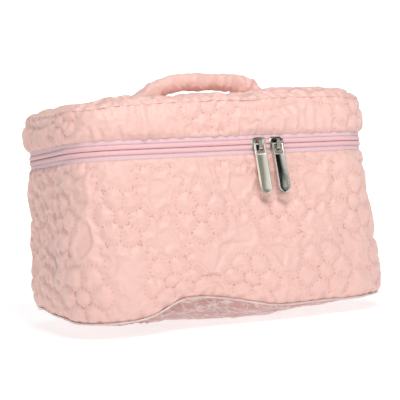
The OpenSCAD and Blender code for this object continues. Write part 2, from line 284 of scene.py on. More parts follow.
class Cloth:
    """A flat cutting plan: points in metres, triangles, and how each point is held."""

    FREE, EDGE, THREAD, HOLE = range(4)

    def __init__(self, border, keeps, paths, pitch, seed, merge_ends=False):
        """border is a closed convex loop, and keeps(points, margin, seam) tells which points lie inside
        it, at least margin from its ends and seam from its seams."""
        rng = np.random.default_rng(seed)
        self.points = [*map(tuple, border)]
        self.marks = [Cloth.EDGE] * len(self.points)
        self.edges = [(k, (k + 1) % len(border)) for k in range(len(border))]
        self.sew(paths, keeps)
        self.fill(border, keeps, pitch, rng)
        self.cut()
        self.uv = self.points[self.triangles]
        self.partner = np.arange(len(self.points))
        if merge_ends:
            self.join_ends()

    def sew(self, paths, keeps):
        """Adds the sewn lines, without those parts that run too close to the edge or an earlier line."""
        taken = {}
        cell = 0.95 * MM
        for path in paths:
            inside = keeps(path, END_GAP, SEWN_IN)
            last = None
            for k, (point, good) in enumerate(zip(path, inside)):
                key = (round(point[0] / cell), round(point[1] / cell))
                cells = ((key[0] + i, key[1] + j) for i in (-1, 0, 1) for j in (-1, 0, 1))
                near = [taken[c] for c in cells
                        if c in taken and math.dist(self.points[taken[c]], point) < cell]
                if not good:
                    last = None
                    continue
                if near:
                    index = near[0]
                else:
                    index = len(self.points)
                    self.points.append((point[0], point[1]))
                    self.marks.append(Cloth.HOLE if k % 2 == 0 else Cloth.THREAD)
                    taken[key] = index
                if last is not None and last != index:
                    self.edges.append((last, index))
                last = index

    def fill(self, border, keeps, pitch, rng):
        """Adds points over the rest of the cloth, a pitch apart in every direction."""
        known = KDTree(len(self.points))
        for k, point in enumerate(self.points):
            known.insert((point[0], point[1], 0), k)
        known.balance()
        lowest, highest = np.min(border, 0), np.max(border, 0)
        step = pitch * math.sqrt(3) / 2
        rows = np.arange(lowest[1], highest[1], step)
        for k, y in enumerate(rows):
            xs = np.arange(lowest[0] + pitch / 2 * (k % 2), highest[0], pitch)
            row = np.stack([xs, np.full(len(xs), y)], 1) + rng.uniform(-0.12, 0.12, (len(xs), 2)) * pitch
            for point in row[keeps(row, 0.55 * pitch)]:
                if known.find((point[0], point[1], 0))[2] > 0.66 * pitch:
                    self.points.append((point[0], point[1]))
                    self.marks.append(Cloth.FREE)

    def cut(self):
        """Joins all points by triangles that follow the sewn lines."""
        flat = [Vector((x / MM, y / MM)) for x, y in self.points]
        made, _, faces, sources, _, _ = delaunay_2d_cdt(flat, self.edges, [], 0, 1e-4)
        old = self.marks
        self.points = np.array(made) * MM
        self.marks = np.array([max((old[i] for i in ids), default=Cloth.THREAD) for ids in sources])
        self.triangles = np.array([face for face in faces if len(face) == 3])
        a, b, c = (self.points[self.triangles[:, k]] for k in range(3))
        turned = (b[:, 0] - a[:, 0]) * (c[:, 1] - a[:, 1]) - (b[:, 1] - a[:, 1]) * (c[:, 0] - a[:, 0])
        self.triangles = self.triangles[np.abs(turned) > 1e-9]
        turned = turned[np.abs(turned) > 1e-9]
        self.triangles[turned < 0] = self.triangles[turned < 0][:, ::-1]

    def join_ends(self):
        """Sews the plan's two upright ends together, so that it closes round the bag."""
        first = np.flatnonzero(self.points[:, 0] < self.points[:, 0].min() + 1e-6)
        last = np.flatnonzero(self.points[:, 0] > self.points[:, 0].max() - 1e-6)
        first = first[np.argsort(self.points[first, 1])]
        last = last[np.argsort(self.points[last, 1])]
        self.partner[last] = first
        self.triangles = self.partner[self.triangles]
        inner = first[1:-1]
        self.marks[inner] = Cloth.THREAD

    @property
    def held(self):
        """Points that a seam or a stitch holds."""
        return np.flatnonzero((self.marks != Cloth.FREE) & (self.partner == np.arange(len(self.partner))))

    def stitch_distance(self):
        """How far each point is from the nearest seam or stitch."""
        held = np.flatnonzero(self.marks != Cloth.FREE)
        known = KDTree(len(held))
        for k in held:
            known.insert((*self.points[k], 0), int(k))
        known.balance()
        return np.array([known.find((x, y, 0))[2] for x, y in self.points])


def vertex_normals(points, triangles):
    """Outward direction at every point of a triangle mesh."""
    a, b, c = (points[triangles[:, k]] for k in range(3))
    face = np.cross(b - a, c - a)
    normals = np.zeros_like(points)
    for k in range(3):
        np.add.at(normals, triangles[:, k], face)
    return normals / np.maximum(np.linalg.norm(normals, axis=1), 1e-12)[:, None]


def add_object(name, data):
    """Puts an object with the given mesh, curve, camera or light into the scene."""
    made = bpy.data.objects.new(name, data)
    bpy.context.scene.collection.objects.link(made)
    return made


def bmesh_object(name, bm):
    """Ends a bmesh and gives its object."""
    mesh = bpy.data.meshes.new(name)
    bm.to_mesh(mesh)
    bm.free()
    return add_object(name, mesh)


def plain_mesh(name, points, faces):
    """A Blender object from points and faces, not yet finished."""
    mesh = bpy.data.meshes.new(name)
    mesh.from_pydata([tuple(map(float, p)) for p in points], [], [tuple(map(int, f)) for f in faces])
    return add_object(name, mesh)


def evaluated(made):
    """The object with its modifiers worked out."""
    return made.evaluated_get(bpy.context.evaluated_depsgraph_get())


def blow_out(made, held, spare, pressure, reach, frames, bending):
    """Cloth simulation: the cloth is cut larger than its place by the share spare, the points held stay,
    and it is blown out from behind. No point moves further than reach. Returns the points' new places."""
    points = np.array([v.co for v in made.data.vertices])
    group = made.vertex_groups.new(name="held")
    group.add([int(k) for k in held], 1.0, "REPLACE")
    modifier = made.modifiers.new("Cloth", "CLOTH")
    settings = modifier.settings
    settings.quality = 5
    settings.mass = 0.02
    settings.tension_stiffness = settings.compression_stiffness = 12
    settings.shear_stiffness = 6
    settings.bending_stiffness = bending
    settings.air_damping = 1.5
    settings.vertex_group_mass = "held"
    settings.shrink_min = -spare
    settings.use_pressure = True
    settings.uniform_pressure_force = pressure
    settings.effector_weights.gravity = 0
    modifier.collision_settings.use_collision = False
    modifier.point_cache.frame_start = 1
    modifier.point_cache.frame_end = frames
    scene = bpy.context.scene
    for k in range(1, frames + 1):
        scene.frame_set(k)
    moved = np.array([v.co for v in evaluated(made).data.vertices]) - points
    made.modifiers.clear()
    made.vertex_groups.clear()
    scene.frame_set(1)
    length = np.linalg.norm(moved, axis=1)
    return points + moved * np.minimum(1, reach / np.maximum(length, 1e-9))[:, None]


def inflate(cloth, points, spare, pressure, reach, frames=18, bending=0.02):
    """Blows a sewn cloth out between its stitches. Returns the points' new places."""
    made = plain_mesh("cloth_trial", points, cloth.triangles)
    moved = blow_out(made, cloth.held, spare, pressure, reach, frames, bending)
    bpy.data.objects.remove(made)
    return moved


def border_pairs(triangles):
    """Edges that only one triangle has, in that triangle's direction."""
    sides = np.concatenate([triangles[:, [0, 1]], triangles[:, [1, 2]], triangles[:, [2, 0]]])
    known = {tuple(side) for side in sides.tolist()}
    return [side for side in known if (side[1], side[0]) not in known]


def edge_loops(edges):
    """The separate closed loops that a set of border edges makes."""
    left = set(edges)
    loops = []
    while left:
        pending = [left.pop()]
        loop = list(pending)
        while pending:
            for vert in pending.pop().verts:
                for edge in vert.link_edges:
                    if edge in left:
                        left.discard(edge)
                        pending.append(edge)
                        loop.append(edge)
        loops.append(loop)
    return loops


def face_cloth(name, cloth, points, thickness):
    """The sewn cloth as a closed skin: a fine outer face, a plain inner face, and joined edges."""
    normals = vertex_normals(points, cloth.triangles)
    bm = bmesh.new()
    # These two marks tell the face cloth's material where to paint shade: at the needle holes and along the
    # sewn lines.
    hole = bm.verts.layers.float.new("hole")
    thread = bm.verts.layers.float.new("thread")
    uv_layer = bm.loops.layers.uv.new("Cloth")
    outer = []
    used = np.zeros(len(points), bool)
    used[cloth.triangles.ravel()] = True
    for k, point in enumerate(points):
        vert = bm.verts.new(point) if used[k] else None
        if vert:
            vert[hole] = float(cloth.marks[k] == Cloth.HOLE)
            vert[thread] = float(cloth.marks[k] in (Cloth.HOLE, Cloth.THREAD))
        outer.append(vert)
    inner = [bm.verts.new(p - n * thickness) if u else None for p, n, u in zip(points, normals, used)]
    outer_faces = []
    for triangle, uvs in zip(cloth.triangles.tolist(), cloth.uv):
        face = bm.faces.new([outer[k] for k in triangle])
        lining = bm.faces.new([inner[k] for k in reversed(triangle)])
        outer_faces.append(face)
        for loop, uv in zip(face.loops, uvs):
            loop[uv_layer].uv = uv
        for loop, uv in zip(lining.loops, uvs[::-1]):
            loop[uv_layer].uv = uv
    bm.normal_update()
    edges = list({edge for face in outer_faces for edge in face.edges})
    bmesh.ops.subdivide_edges(bm, edges=edges, cuts=1, smooth=1.0, use_grid_fill=True)
    loops = edge_loops([edge for edge in bm.edges if edge.is_boundary])
    loops.sort(key=lambda loop: sum(edge.verts[0].co.z for edge in loop) / len(loop))
    for k in range(0, len(loops), 2):
        bmesh.ops.bridge_loops(bm, edges=loops[k] + loops[k + 1])
    bmesh.ops.recalc_face_normals(bm, faces=bm.faces)
    return bmesh_object(name, bm)


def filling(name, cloth, outer, inner, keep):
    """Wadding between two copies of one cloth, over the triangles whose points are all kept."""
    triangles = cloth.triangles[keep[cloth.triangles].all(axis=1)]
    count = len(outer)
    faces = [*triangles.tolist(), *(triangles[:, ::-1] + count).tolist()]
    faces += [(b, a, a + count, b + count) for a, b in border_pairs(triangles)]
    used = np.unique(np.concatenate([np.ravel(f) for f in (triangles, triangles + count)]))
    number = np.zeros(2 * count, int)
    number[used] = np.arange(len(used))
    points = np.concatenate([outer, inner])[used]
    return plain_mesh(name, points, [[number[k] for k in face] for face in faces])


def shade_smooth(piece):
    """Shades every face of a piece smooth."""
    piece.data.polygons.foreach_set("use_smooth", [True] * len(piece.data.polygons))


def finish_piece(piece, finish, body=None, nodes=(), slot=None):
    """Shades a piece smooth, gives it its material, rides it on its body and hides its nodes.
    slot is not used."""
    slot = slot or finish
    piece.data.materials.clear()
    piece.data.materials.append(material(finish))
    shade_smooth(piece)
    if nodes:
        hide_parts(*nodes)
    if body:
        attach(piece, body)
    return piece


def apply_modifiers(piece):
    """Makes a piece's modifiers part of its mesh."""
    mesh = bpy.data.meshes.new_from_object(evaluated(piece))
    piece.modifiers.clear()
    old = piece.data
    piece.data = mesh
    bpy.data.meshes.remove(old)


def thicken(piece, thickness):
    """Gives a sheet its thickness, half to each side."""
    modifier = piece.modifiers.new("Thickness", "SOLIDIFY")
    modifier.thickness = thickness
    modifier.offset = 0
    apply_modifiers(piece)


def quads(rings, along, across, closed_round, closed_across):
    """A bmesh of quads through rings of points, each an array (n, 3), and its points. along and across
    are each ring's and each point's place on the flat cloth, with the first one's again at the end."""
    count, turn = len(rings), len(rings[0])
    bm = bmesh.new()
    uv_layer = bm.loops.layers.uv.new("Cloth")
    verts = [[bm.verts.new(p) for p in ring] for ring in rings]
    for i in range(count if closed_round else count - 1):
        for j in range(turn if closed_across else turn - 1):
            one, two = (i + 1) % count, (j + 1) % turn
            face = bm.faces.new((verts[i][j], verts[one][j], verts[one][two], verts[i][two]))
            places = ((i, j), (i + 1, j), (i + 1, j + 1), (i, j + 1))
            for loop, (a, b) in zip(face.loops, places):
                loop[uv_layer].uv = (along[a], across[b])
    return bm, verts


def path_lengths(points):
    """How far along a closed row of points each one lies, with the first one's again at the end."""
    steps = np.linalg.norm(np.roll(points, -1, axis=0) - points, axis=1)
    return np.concatenate([[0], np.cumsum(steps)])


def loft(name, rings, closed_round):
    """A closed skin through rings of points. Its last ring joins the first, or else its ends are capped."""
    along = path_lengths(np.array([ring[0] for ring in rings]))
    bm, verts = quads(rings, along, path_lengths(rings[0]), closed_round, True)
    if not closed_round:
        bm.faces.new(verts[0])
        bm.faces.new(reversed(verts[-1]))
    bmesh.ops.recalc_face_normals(bm, faces=bm.faces)
    return bmesh_object(name, bm)


def band_round(name, profile, s_values, closed, wobble=None, shift=0.0):
    """A strip round the bag: profile lists (depth behind the rim, height) round its section."""
    profile = np.array(profile)
    rings = []
    for s in s_values:
        spots = ring_point(np.full(len(profile), s), -profile[:, 0])
        spots[:, 0] += shift
        heights = profile[:, 1] + (wobble(s) if wobble else 0)
        rings.append(np.column_stack([spots, heights]))
    return loft(name, rings, closed)


# ---------------------------------------------------------------- materials

class Value:
    """A socket of a material that carries a number, so that shader maths reads as an expression."""

    def __init__(self, finish, socket):
        self.finish = finish
        self.socket = socket

    def maths(self, operation, *values):
        return self.finish.node("ShaderNodeMath", {"operation": operation}, *values)

    def __add__(self, other):
        return self.maths("ADD", self, other)

    def __radd__(self, other):
        return self.maths("ADD", other, self)

    def __sub__(self, other):
        return self.maths("SUBTRACT", self, other)

    def __rsub__(self, other):
        return self.maths("SUBTRACT", other, self)

    def __mul__(self, other):
        return self.maths("MULTIPLY", self, other)

    def __rmul__(self, other):
        return self.maths("MULTIPLY", other, self)

    def wave(self):
        return self.maths("SINE", self)

    def size(self):
        return self.maths("ABSOLUTE", self)

    def between(self, start, stop):
        """0 at start, 1 at stop, straight between them."""
        settings = {"clamp": True}
        return self.finish.node("ShaderNodeMapRange", settings, self, start, stop, 0.0, 1.0)


class Finish:
    """One material, built round a Principled shader. fixed sets sockets that don't vary."""

    def __init__(self, name, colour, roughness=0.5, **fixed):
        self.material = bpy.data.materials.new(name)
        self.material.use_nodes = True
        self.tree = self.material.node_tree
        self.shader = self.tree.nodes["Principled BSDF"]
        self.colour = tuple(colour[:3])
        self.material.diffuse_color = (*self.colour, 1)
        self.put("Base Color", (*self.colour, 1))
        self.put("Roughness", roughness)
        for socket, value in fixed.items():
            self.put(socket.replace("_", " "), value)

    def plug(self, socket, value):
        if isinstance(value, Value):
            self.tree.links.new(value.socket, socket)
        else:
            socket.default_value = value

    def put(self, socket, value):
        """Sets or links one socket of the shader."""
        self.plug(self.shader.inputs[socket], value)

    def node(self, kind, settings=None, *values, outlet=0, **named):
        """Adds a node: its settings first, then its sockets in order or by name. Gives one outlet."""
        made = self.tree.nodes.new(kind)
        for name, setting in (settings or {}).items():
            setattr(made, name, setting)
        for socket, value in zip(made.inputs, values):
            self.plug(socket, value)
        for name, value in named.items():
            self.plug(made.inputs[name.replace("_", " ")], value)
        return Value(self, made.outputs[outlet])

    def place(self, space="Object"):
        """Where the surface point is: on the object, or on its own cloth plan."""
        if space == "UV":
            return self.node("ShaderNodeUVMap", {"uv_map": "Cloth"})
        return self.node("ShaderNodeTexCoord", outlet="Object")

    def axes(self, place):
        """The three numbers of a place."""
        made = self.tree.nodes.new("ShaderNodeSeparateXYZ")
        self.plug(made.inputs[0], place)
        return [Value(self, outlet) for outlet in made.outputs]

    def noise(self, place, scale, detail=3.0, rough=0.5):
        """Cloudy noise about 0.5."""
        return self.node("ShaderNodeTexNoise", None, Vector=place, Scale=scale, Detail=detail,
                         Roughness=rough)

    def stretched(self, place, scale):
        """The place, scaled along each axis."""
        return self.node("ShaderNodeMapping", {"vector_type": "POINT"}, Vector=place, Scale=scale)

    def attribute(self, name):
        """A number that is painted on the mesh."""
        return self.node("ShaderNodeAttribute", {"attribute_name": name}, outlet="Fac")

    def mix(self, share, one, two):
        """A colour between two colours."""
        made = self.tree.nodes.new("ShaderNodeMix")
        made.data_type = "RGBA"
        self.plug(made.inputs["Factor"], share)
        self.plug(made.inputs[6], one if isinstance(one, Value) else (*one[:3], 1))
        self.plug(made.inputs[7], two if isinstance(two, Value) else (*two[:3], 1))
        return Value(self, made.outputs[2])

    def relief(self, height, depth, strength=1.0):
        """Bump of a given depth in metres."""
        self.put("Normal", self.node("ShaderNodeBump", None, Height=height, Distance=depth,
                                     Strength=strength))


def chosen(name):
    """One of the bag's colours."""
    return tuple(getattr(bpy.context.scene.bag_colours, name))


def tint(colour, factor):
    """A colour made lighter or darker."""
    return tuple(min(1.0, channel * factor) for channel in colour[:3])


def quilted_cloth():
    """Blush satin-faced polyester: a faint weave, fine crinkles, and painted shade in the needle holes,
    along the sewn lines and along long streaks.
    """
    base = chosen("cloth")
    finish = Finish("quilted_cloth", base, 0.42, Sheen_Weight=0.35, Sheen_Roughness=0.4,
                    Sheen_Tint=(1.0, 0.9, 0.88, 1), Specular_IOR_Level=0.42)
    place = finish.place("UV")
    across, up, _ = finish.axes(place)
    spot = finish.place()
    cloudy = finish.noise(spot, 26.0, 3.0)
    streaks = finish.noise(finish.stretched(place, (60.0, 900.0, 1.0)), 1.0, 3.0)
    hole = finish.attribute("hole")
    thread = finish.attribute("thread")
    # deep is the colour of the painted fold shade: a darker pink that stands in for the shade where the
    # cloth is sewn down and creased.
    deep = chosen("cloth_fold")
    shade = finish.mix(cloudy.between(0.25, 0.8), tint(base, 0.965), tint(base, 1.02))
    # Painted shade along long thin streaks, where fine wrinkles fall.
    shade = finish.mix(streaks.between(0.45, 0.95) * 0.16, shade, deep)
    # Painted shade along the sewn lines, where the stitches pull the cloth into a crease.
    shade = finish.mix(thread.between(0.3, 1.0) * 0.12, shade, deep)
    # Painted shade in the needle holes, where the stitches sink the cloth into small dimples.
    shade = finish.mix(hole.between(0.66, 0.98) * 0.7, shade, chosen("needle_hole_shade"))
    finish.put("Base Color", shade)
    finish.put("Roughness", cloudy.between(0.2, 0.9) * 0.12 + 0.37)
    weave = (across * (TAU / 0.0011)).wave() * (up * (TAU / 0.0011)).wave()
    crinkle = finish.noise(finish.stretched(place, (130.0, 320.0, 1.0)), 1.0, 4.0, 0.6)
    ridged = 1.0 - (crinkle - 0.5).size() * 4.0
    finish.relief(weave * 0.05 + ridged * 0.5 + streaks * 0.35, 0.0007, 0.4)
    return finish.material


def wadding():
    """White polyester wadding."""
    finish = Finish("wadding", (0.82, 0.82, 0.80), 0.95, Sheen_Weight=0.5)
    spot = finish.place()
    tufts = finish.noise(spot, 320.0, 5.0, 0.7)
    finish.put("Base Color", finish.mix(tufts.between(0.3, 0.7), (0.74, 0.74, 0.72), (0.88, 0.88, 0.86)))
    finish.relief(tufts, 0.001, 0.8)
    return finish.material


def lining_cloth():
    """Thin taffeta lining, a little darker than the face cloth."""
    base = chosen("lining")
    finish = Finish("lining_cloth", base, 0.46, Sheen_Weight=0.2, Specular_IOR_Level=0.4)
    place = finish.place("UV")
    across, up, _ = finish.axes(place)
    slub = finish.noise(finish.stretched(place, (40.0, 1500.0, 1.0)), 1.0, 3.0)
    cloudy = finish.noise(finish.place(), 18.0, 3.0)
    shade = finish.mix(slub.between(0.3, 0.8) * 0.5 + cloudy * 0.3, tint(base, 1.03), tint(base, 0.86))
    finish.put("Base Color", shade)
    finish.put("Roughness", cloudy.between(0.2, 0.8) * 0.14 + 0.4)
    weave = (across * (TAU / 0.0008)).wave() * (up * (TAU / 0.0008)).wave()
    crease = finish.noise(finish.stretched(place, (55.0, 30.0, 1.0)), 1.0, 4.0)
    finish.relief(weave * 0.1 + crease, 0.0012, 0.5)
    return finish.material


def ribbed_tape(name, colour, rib, zipped=False):
    """Woven tape with ribs across it. A zipped one is darker over its coil, and has dark lines along its
    sewing and as painted shade in the gap between the tapes and in the grooves beside its ridges.
    """
    finish = Finish(name, colour, 0.55, Sheen_Weight=0.25)
    place = finish.place("UV")
    along, _, _ = finish.axes(place)
    ribs = (along * (TAU / rib)).wave() * 0.5 + 0.5
    cloudy = finish.noise(finish.place(), 40.0, 3.0)
    shade = finish.mix(ribs * 0.35 + cloudy * 0.3, tint(colour, 1.05), tint(colour, 0.84))
    if zipped:
        shade = finish.mix(finish.attribute("ridge") * 0.75, shade, chosen("coil"))
        # Dark lines: painted shade in the gap between the two tapes and in the grooves beside the ridges,
        # and the sewing line.
        shade = finish.mix(finish.attribute("seam").between(0.2, 0.9), shade, chosen("seam_and_groove_shade"))
    finish.put("Base Color", shade)
    finish.put("Roughness", cloudy.between(0.2, 0.8) * 0.12 + 0.48)
    finish.relief(ribs, 0.0003, 0.6)
    return finish.material


def coil_plastic():
    """Moulded polyester coil, slightly see-through."""
    base = chosen("coil")
    finish = Finish("zip_coil", base, 0.34, Specular_IOR_Level=0.5, Subsurface_Weight=0.15,
                    Subsurface_Scale=0.002)
    cloudy = finish.noise(finish.place(), 200.0, 2.0)
    finish.put("Base Color", finish.mix(cloudy, tint(base, 0.92), tint(base, 1.06)))
    finish.put("Roughness", cloudy * 0.15 + 0.28)
    return finish.material


def clear_piping():
    """Slightly see-through bead along the bottom seam, coloured pale as a painted highlight along the seam's
    edge.
    """
    finish = Finish("clear_piping", (0.93, 0.86, 0.84), 0.22, Coat_Weight=0.4, Coat_Roughness=0.15,
                    Transmission_Weight=0.35, IOR=1.4)
    cloudy = finish.noise(finish.place(), 120.0, 3.0)
    # The pale colour is partly the bead's own and partly a painted highlight along the bottom seam.
    finish.put("Base Color", finish.mix(cloudy.between(0.3, 0.75), (0.92, 0.80, 0.77), (0.80, 0.56, 0.52)))
    finish.put("Roughness", cloudy * 0.2 + 0.14)
    finish.relief(cloudy, 0.0005, 0.5)
    return finish.material


def bottom_cloth():
    """Coated crinkled cloth under the bag, darker and shinier than the face cloth, with painted highlights
    along its crinkle ridges.
    """
    base = chosen("bottom")
    finish = Finish("bottom_cloth", base, 0.3, Specular_IOR_Level=0.55, Coat_Weight=0.25,
                    Coat_Roughness=0.25)
    spot = finish.place()
    folds = finish.noise(spot, 75.0, 4.0, 0.6)
    ridges = 1.0 - (folds - 0.5).size() * 6.0
    cloudy = finish.noise(spot, 22.0, 3.0)
    shade = finish.mix(cloudy.between(0.3, 0.75), tint(base, 0.9), tint(base, 1.06))
    # Painted highlights: the crests of the crinkles are mixed towards near white.
    shade = finish.mix(ridges.between(0.72, 1.0) * 0.55, shade, (0.93, 0.86, 0.84))
    finish.put("Base Color", shade)
    finish.put("Roughness", cloudy.between(0.2, 0.8) * 0.2 + 0.24)
    finish.relief(ridges, 0.0016, 0.8)
    return finish.material


def nickel(name, bright, dark, hammered):
    """Plated metal, hammered or polished, with patchy roughness and a painted highlight, pale gold, along
    its sharp edges.
    """
    finish = Finish(name, bright, 0.25, Metallic=1.0, Coat_Weight=0.2, Coat_Roughness=0.1)
    spot = finish.place()
    grain = finish.noise(spot, 900.0 if hammered else 260.0, 4.0, 0.7)
    worn = finish.noise(spot, 160.0, 3.0)
    geometry = finish.node("ShaderNodeNewGeometry", outlet="Pointiness")
    # Painted highlight: sharp edges, found by their pointiness, are mixed towards pale gold.
    edge = geometry.between(0.505, 0.56)
    shade = finish.mix(grain.between(0.35, 0.68), tint(bright, dark), bright)
    shade = finish.mix(edge * 0.8, shade, (0.86, 0.83, 0.74))
    finish.put("Base Color", shade)
    finish.put("Roughness", worn.between(0.2, 0.8) * 0.2 + (0.38 if hammered else 0.18))
    if hammered:
        finish.relief(grain, 0.0006, 0.7)
    else:
        finish.relief(worn, 0.0002, 0.2)
    return finish.material


def stage_finish(name, colour, glow):
    """Plain pale paper for the floor and backdrop."""
    finish = Finish(name, colour, 0.9)
    finish.put("Emission Color", (*colour, 1))
    finish.put("Emission Strength", glow)
    return finish.material


MATERIALS = {}


def material(name):
    """The bag's materials, each made once."""
    makers = {
        "quilted_cloth": quilted_cloth,
        "wadding": wadding,
        "lining_cloth": lining_cloth,
        "bottom_cloth": bottom_cloth,
        "clear_piping": clear_piping,
        "zip_coil": coil_plastic,
        "zip_tape": lambda: ribbed_tape("zip_tape", chosen("tape"), 1.1 * MM, True),
        "binding_tape": lambda: ribbed_tape("binding_tape", chosen("binding"), 0.9 * MM),
        "slider_nickel": lambda: nickel("slider_nickel", chosen("dark_nickel"), 0.7, False),
        "pull_hammered": lambda: nickel("pull_hammered", chosen("nickel"), 0.62, True),
        "pull_polished": lambda: nickel("pull_polished", chosen("dark_nickel"), 0.6, False),
    }
    if name not in MATERIALS:
        MATERIALS[name] = makers[name]()
    return MATERIALS[name]


# ---------------------------------------------------------------- sizes and colours

def length(name, description, default, least, most):
    """A length that the user may change."""
    return bpy.props.FloatProperty(name=name, description=description, default=default, min=least,
                                   max=most, unit="LENGTH")


class BagSizes(bpy.types.PropertyGroup):
    """Sizes of the soft parts that the frame leaves open."""

    pitch: length("Cloth fineness", "Distance between points of the sewn cloth before it is refined",
                  2.9 * MM, 2 * MM, 6 * MM)
    spare: bpy.props.FloatProperty(
        name="Spare cloth", description="Share by which the quilted cloth is cut larger than its place",
        default=0.04, min=0, max=0.12, subtype="FACTOR")
    puff: length("Puff", "Furthest that the wadding may push the cloth out", 2.9 * MM, 0, 8 * MM)
    sewn_depth: length("Sewn depth", "How far the stitches pull the cloth in", 1.25 * MM, 0, 4 * MM)
    cloth_thickness: length("Face cloth", "Thickness of the face cloth", 0.7 * MM, 0.3 * MM, 1.5 * MM)
    lens: bpy.props.FloatProperty(
        name="Lens", description="Focal length of the camera on a 36 mm sensor, in millimetres",
        default=93.15, min=20, max=200)
    camera_distance: length("Camera distance", "Distance from the camera to the middle of the bag",
                            0.9, 0.3, 4)
    camera_height: length("Camera height", "Height of the camera above the floor", 106 * MM, 0, 2)
    camera_turn: bpy.props.FloatProperty(
        name="Camera turn", description="How far the camera stands round to the left of the front",
        default=math.radians(24), subtype="ANGLE")
    camera_roll: bpy.props.FloatProperty(
        name="Camera roll", description="How far the camera is tipped clockwise",
        default=math.radians(3.6), subtype="ANGLE")


def paint(name, description, default):
    """A colour that the user may change."""
    return bpy.props.FloatVectorProperty(name=name, description=description, default=default, size=3,
                                         min=0, max=1, subtype="COLOR")


class BagColours(bpy.types.PropertyGroup):
    """Colours of the bag's cloths and metals."""

    cloth: paint("Face cloth", "Quilted satin-faced cloth", (0.80, 0.51, 0.455))
    # The colour of the painted shade along the sewn lines and wrinkles of the face cloth.
    cloth_fold: paint("Face cloth, folds", "Quilted cloth where it is sewn down", (0.66, 0.34, 0.30))
    # The colour of the painted shade in the needle holes.
    needle_hole_shade: paint("Needle holes", "Needle holes along the stitches", (0.48, 0.20, 0.18))
    lining: paint("Lining", "Lining cloth", (0.72, 0.45, 0.42))
    bottom: paint("Bottom", "Coated cloth of the bottom", (0.60, 0.33, 0.30))
    binding: paint("Binding", "Binding inside the rims", (0.70, 0.42, 0.43))
    tape: paint("Zip tape", "Woven zip tape and hinge strip", (0.74, 0.53, 0.56))
    # The colour of the sewing along the zip, also used as painted shade in the gap and grooves of the zip
    # tape.
    seam_and_groove_shade: paint("Seam line", "Sewing along the zip", (0.60, 0.28, 0.31))
    coil: paint("Zip coil", "Moulded coil of the zip", (0.80, 0.47, 0.48))
    nickel: paint("Plating", "Bright plating of the left pull", (0.40, 0.385, 0.31))
    dark_nickel: paint("Dark plating", "Dark plating of the sliders and the right pull", (0.04, 0.036, 0.03))


# ---------------------------------------------------------------- the quilted walls

# Radii of the edges turned in: at the foot and the rims, and at the lid's top seam
TURN = 2.4 * MM
TURNED = TURN * TAU / 4
LID_TURN = 1.1 * MM
TOP_GROWTH = 0.25 * MM - LID_TURN
# How far the pulls lean out from upright, and what the cloth gives way over round them
PULL_LEAN = math.radians(12)
PULL_ROOM = 2 * MM


class WallPlan:
    """A wall's cloth: how far round the bag against how far up the cloth, edges turned in.
    sag(z), if given, is how far the wall leans to the right."""

    def __init__(self, low_z, high_z, shape, top_turn=TURN, sag=None):
        self.low_z = low_z
        self.sag = sag
        self.top_turn = top_turn
        self.top_turned = top_turn * TAU / 4
        self.upright = high_z - low_z - TURN - top_turn
        self.height = self.upright + TURNED + self.top_turned
        self.shape = shape

    def up(self, z):
        """How far up the cloth a height is."""
        return TURNED + z - self.low_z - TURN

    def keeps(self, points, margin, seam=0.0):
        """Which points lie inside the flat cloth."""
        s, v = np.asarray(points).T
        edge = max(margin, seam)
        return (s > margin) & (s < AROUND - margin) & (v > edge) & (v < self.height - edge)

    def border(self, pitch):
        """Closed outline of the flat cloth."""
        wide = np.linspace(0, AROUND, round(AROUND / pitch) + 1)
        tall = np.linspace(0, self.height, round(self.height / pitch) + 1)
        return np.concatenate([
            np.column_stack([wide[:-1], np.zeros(len(wide) - 1)]),
            np.column_stack([np.full(len(tall) - 1, AROUND), tall[:-1]]),
            np.column_stack([wide[:0:-1], np.full(len(wide) - 1, self.height)]),
            np.column_stack([np.zeros(len(tall) - 1), tall[:0:-1]]),
        ])

    def places(self, points, foot=None, drop=None):
        """Where the flat cloth's points lie on the bag. foot(s) gives the lower edge's height,
        and drop(s) how far the upper edge has sunk."""
        s, v = points.T
        first = np.clip(v / TURNED, 0, 1) * TAU / 4
        last = np.clip((v - TURNED - self.upright) / self.top_turned, 0, 1) * TAU / 4
        rise = TURN * (1 - np.cos(first)) + np.clip(v - TURNED, 0, self.upright)
        rise = rise + self.top_turn * np.sin(last)
        depth = TURN * (1 - np.sin(first)) + self.top_turn * (1 - np.cos(last))
        z = self.low_z + rise
        flat = ring_point(s, through(self.shape, z) - depth)
        if self.sag:
            flat[:, 0] += self.sag(z)
        if foot is not None:
            z = z + (foot(s) - self.low_z) * (1 - ease(rise / (48 * MM)))
        if drop is not None:
            z = z - drop(s) * ease(rise / (self.upright + TURN + self.top_turn))
        return np.column_stack([flat, z])


def wall_daisies(plan, rows, seed, every=1):
    """Sewn lines of the daisies and links on a wall. rows lists (height, shift along the wall), and
    only one daisy in every is made."""
    rng = random.Random(seed)
    paths = []
    links = []
    below = []
    for z, shift in rows:
        spots = []
        for k in range(-1, DAISIES_AROUND + 1, every):
            s = (k + 0.5 + shift) * DAISY_PITCH + rng.uniform(-2.5, 2.5) * MM
            spots.append((s, plan.up(z) + rng.uniform(-2.5, 2.5) * MM))
            paths += daisy(spots[-1], rng.uniform(0, TAU / 6), rng.uniform(0.93, 1.05))
        for one, two in zip(spots, spots[1:]):
            if rng.random() < 0.6:
                links.append(sewn_link(one, two, rng.uniform(-5, 5) * MM))
        for one in below:
            for two in spots:
                if math.dist(one, two) < 1.25 * DAISY_PITCH and rng.random() < 0.75:
                    links.append(sewn_link(one, two, rng.choice((-1, 1)) * rng.uniform(3, 6) * MM))
        below = spots
    return paths + links


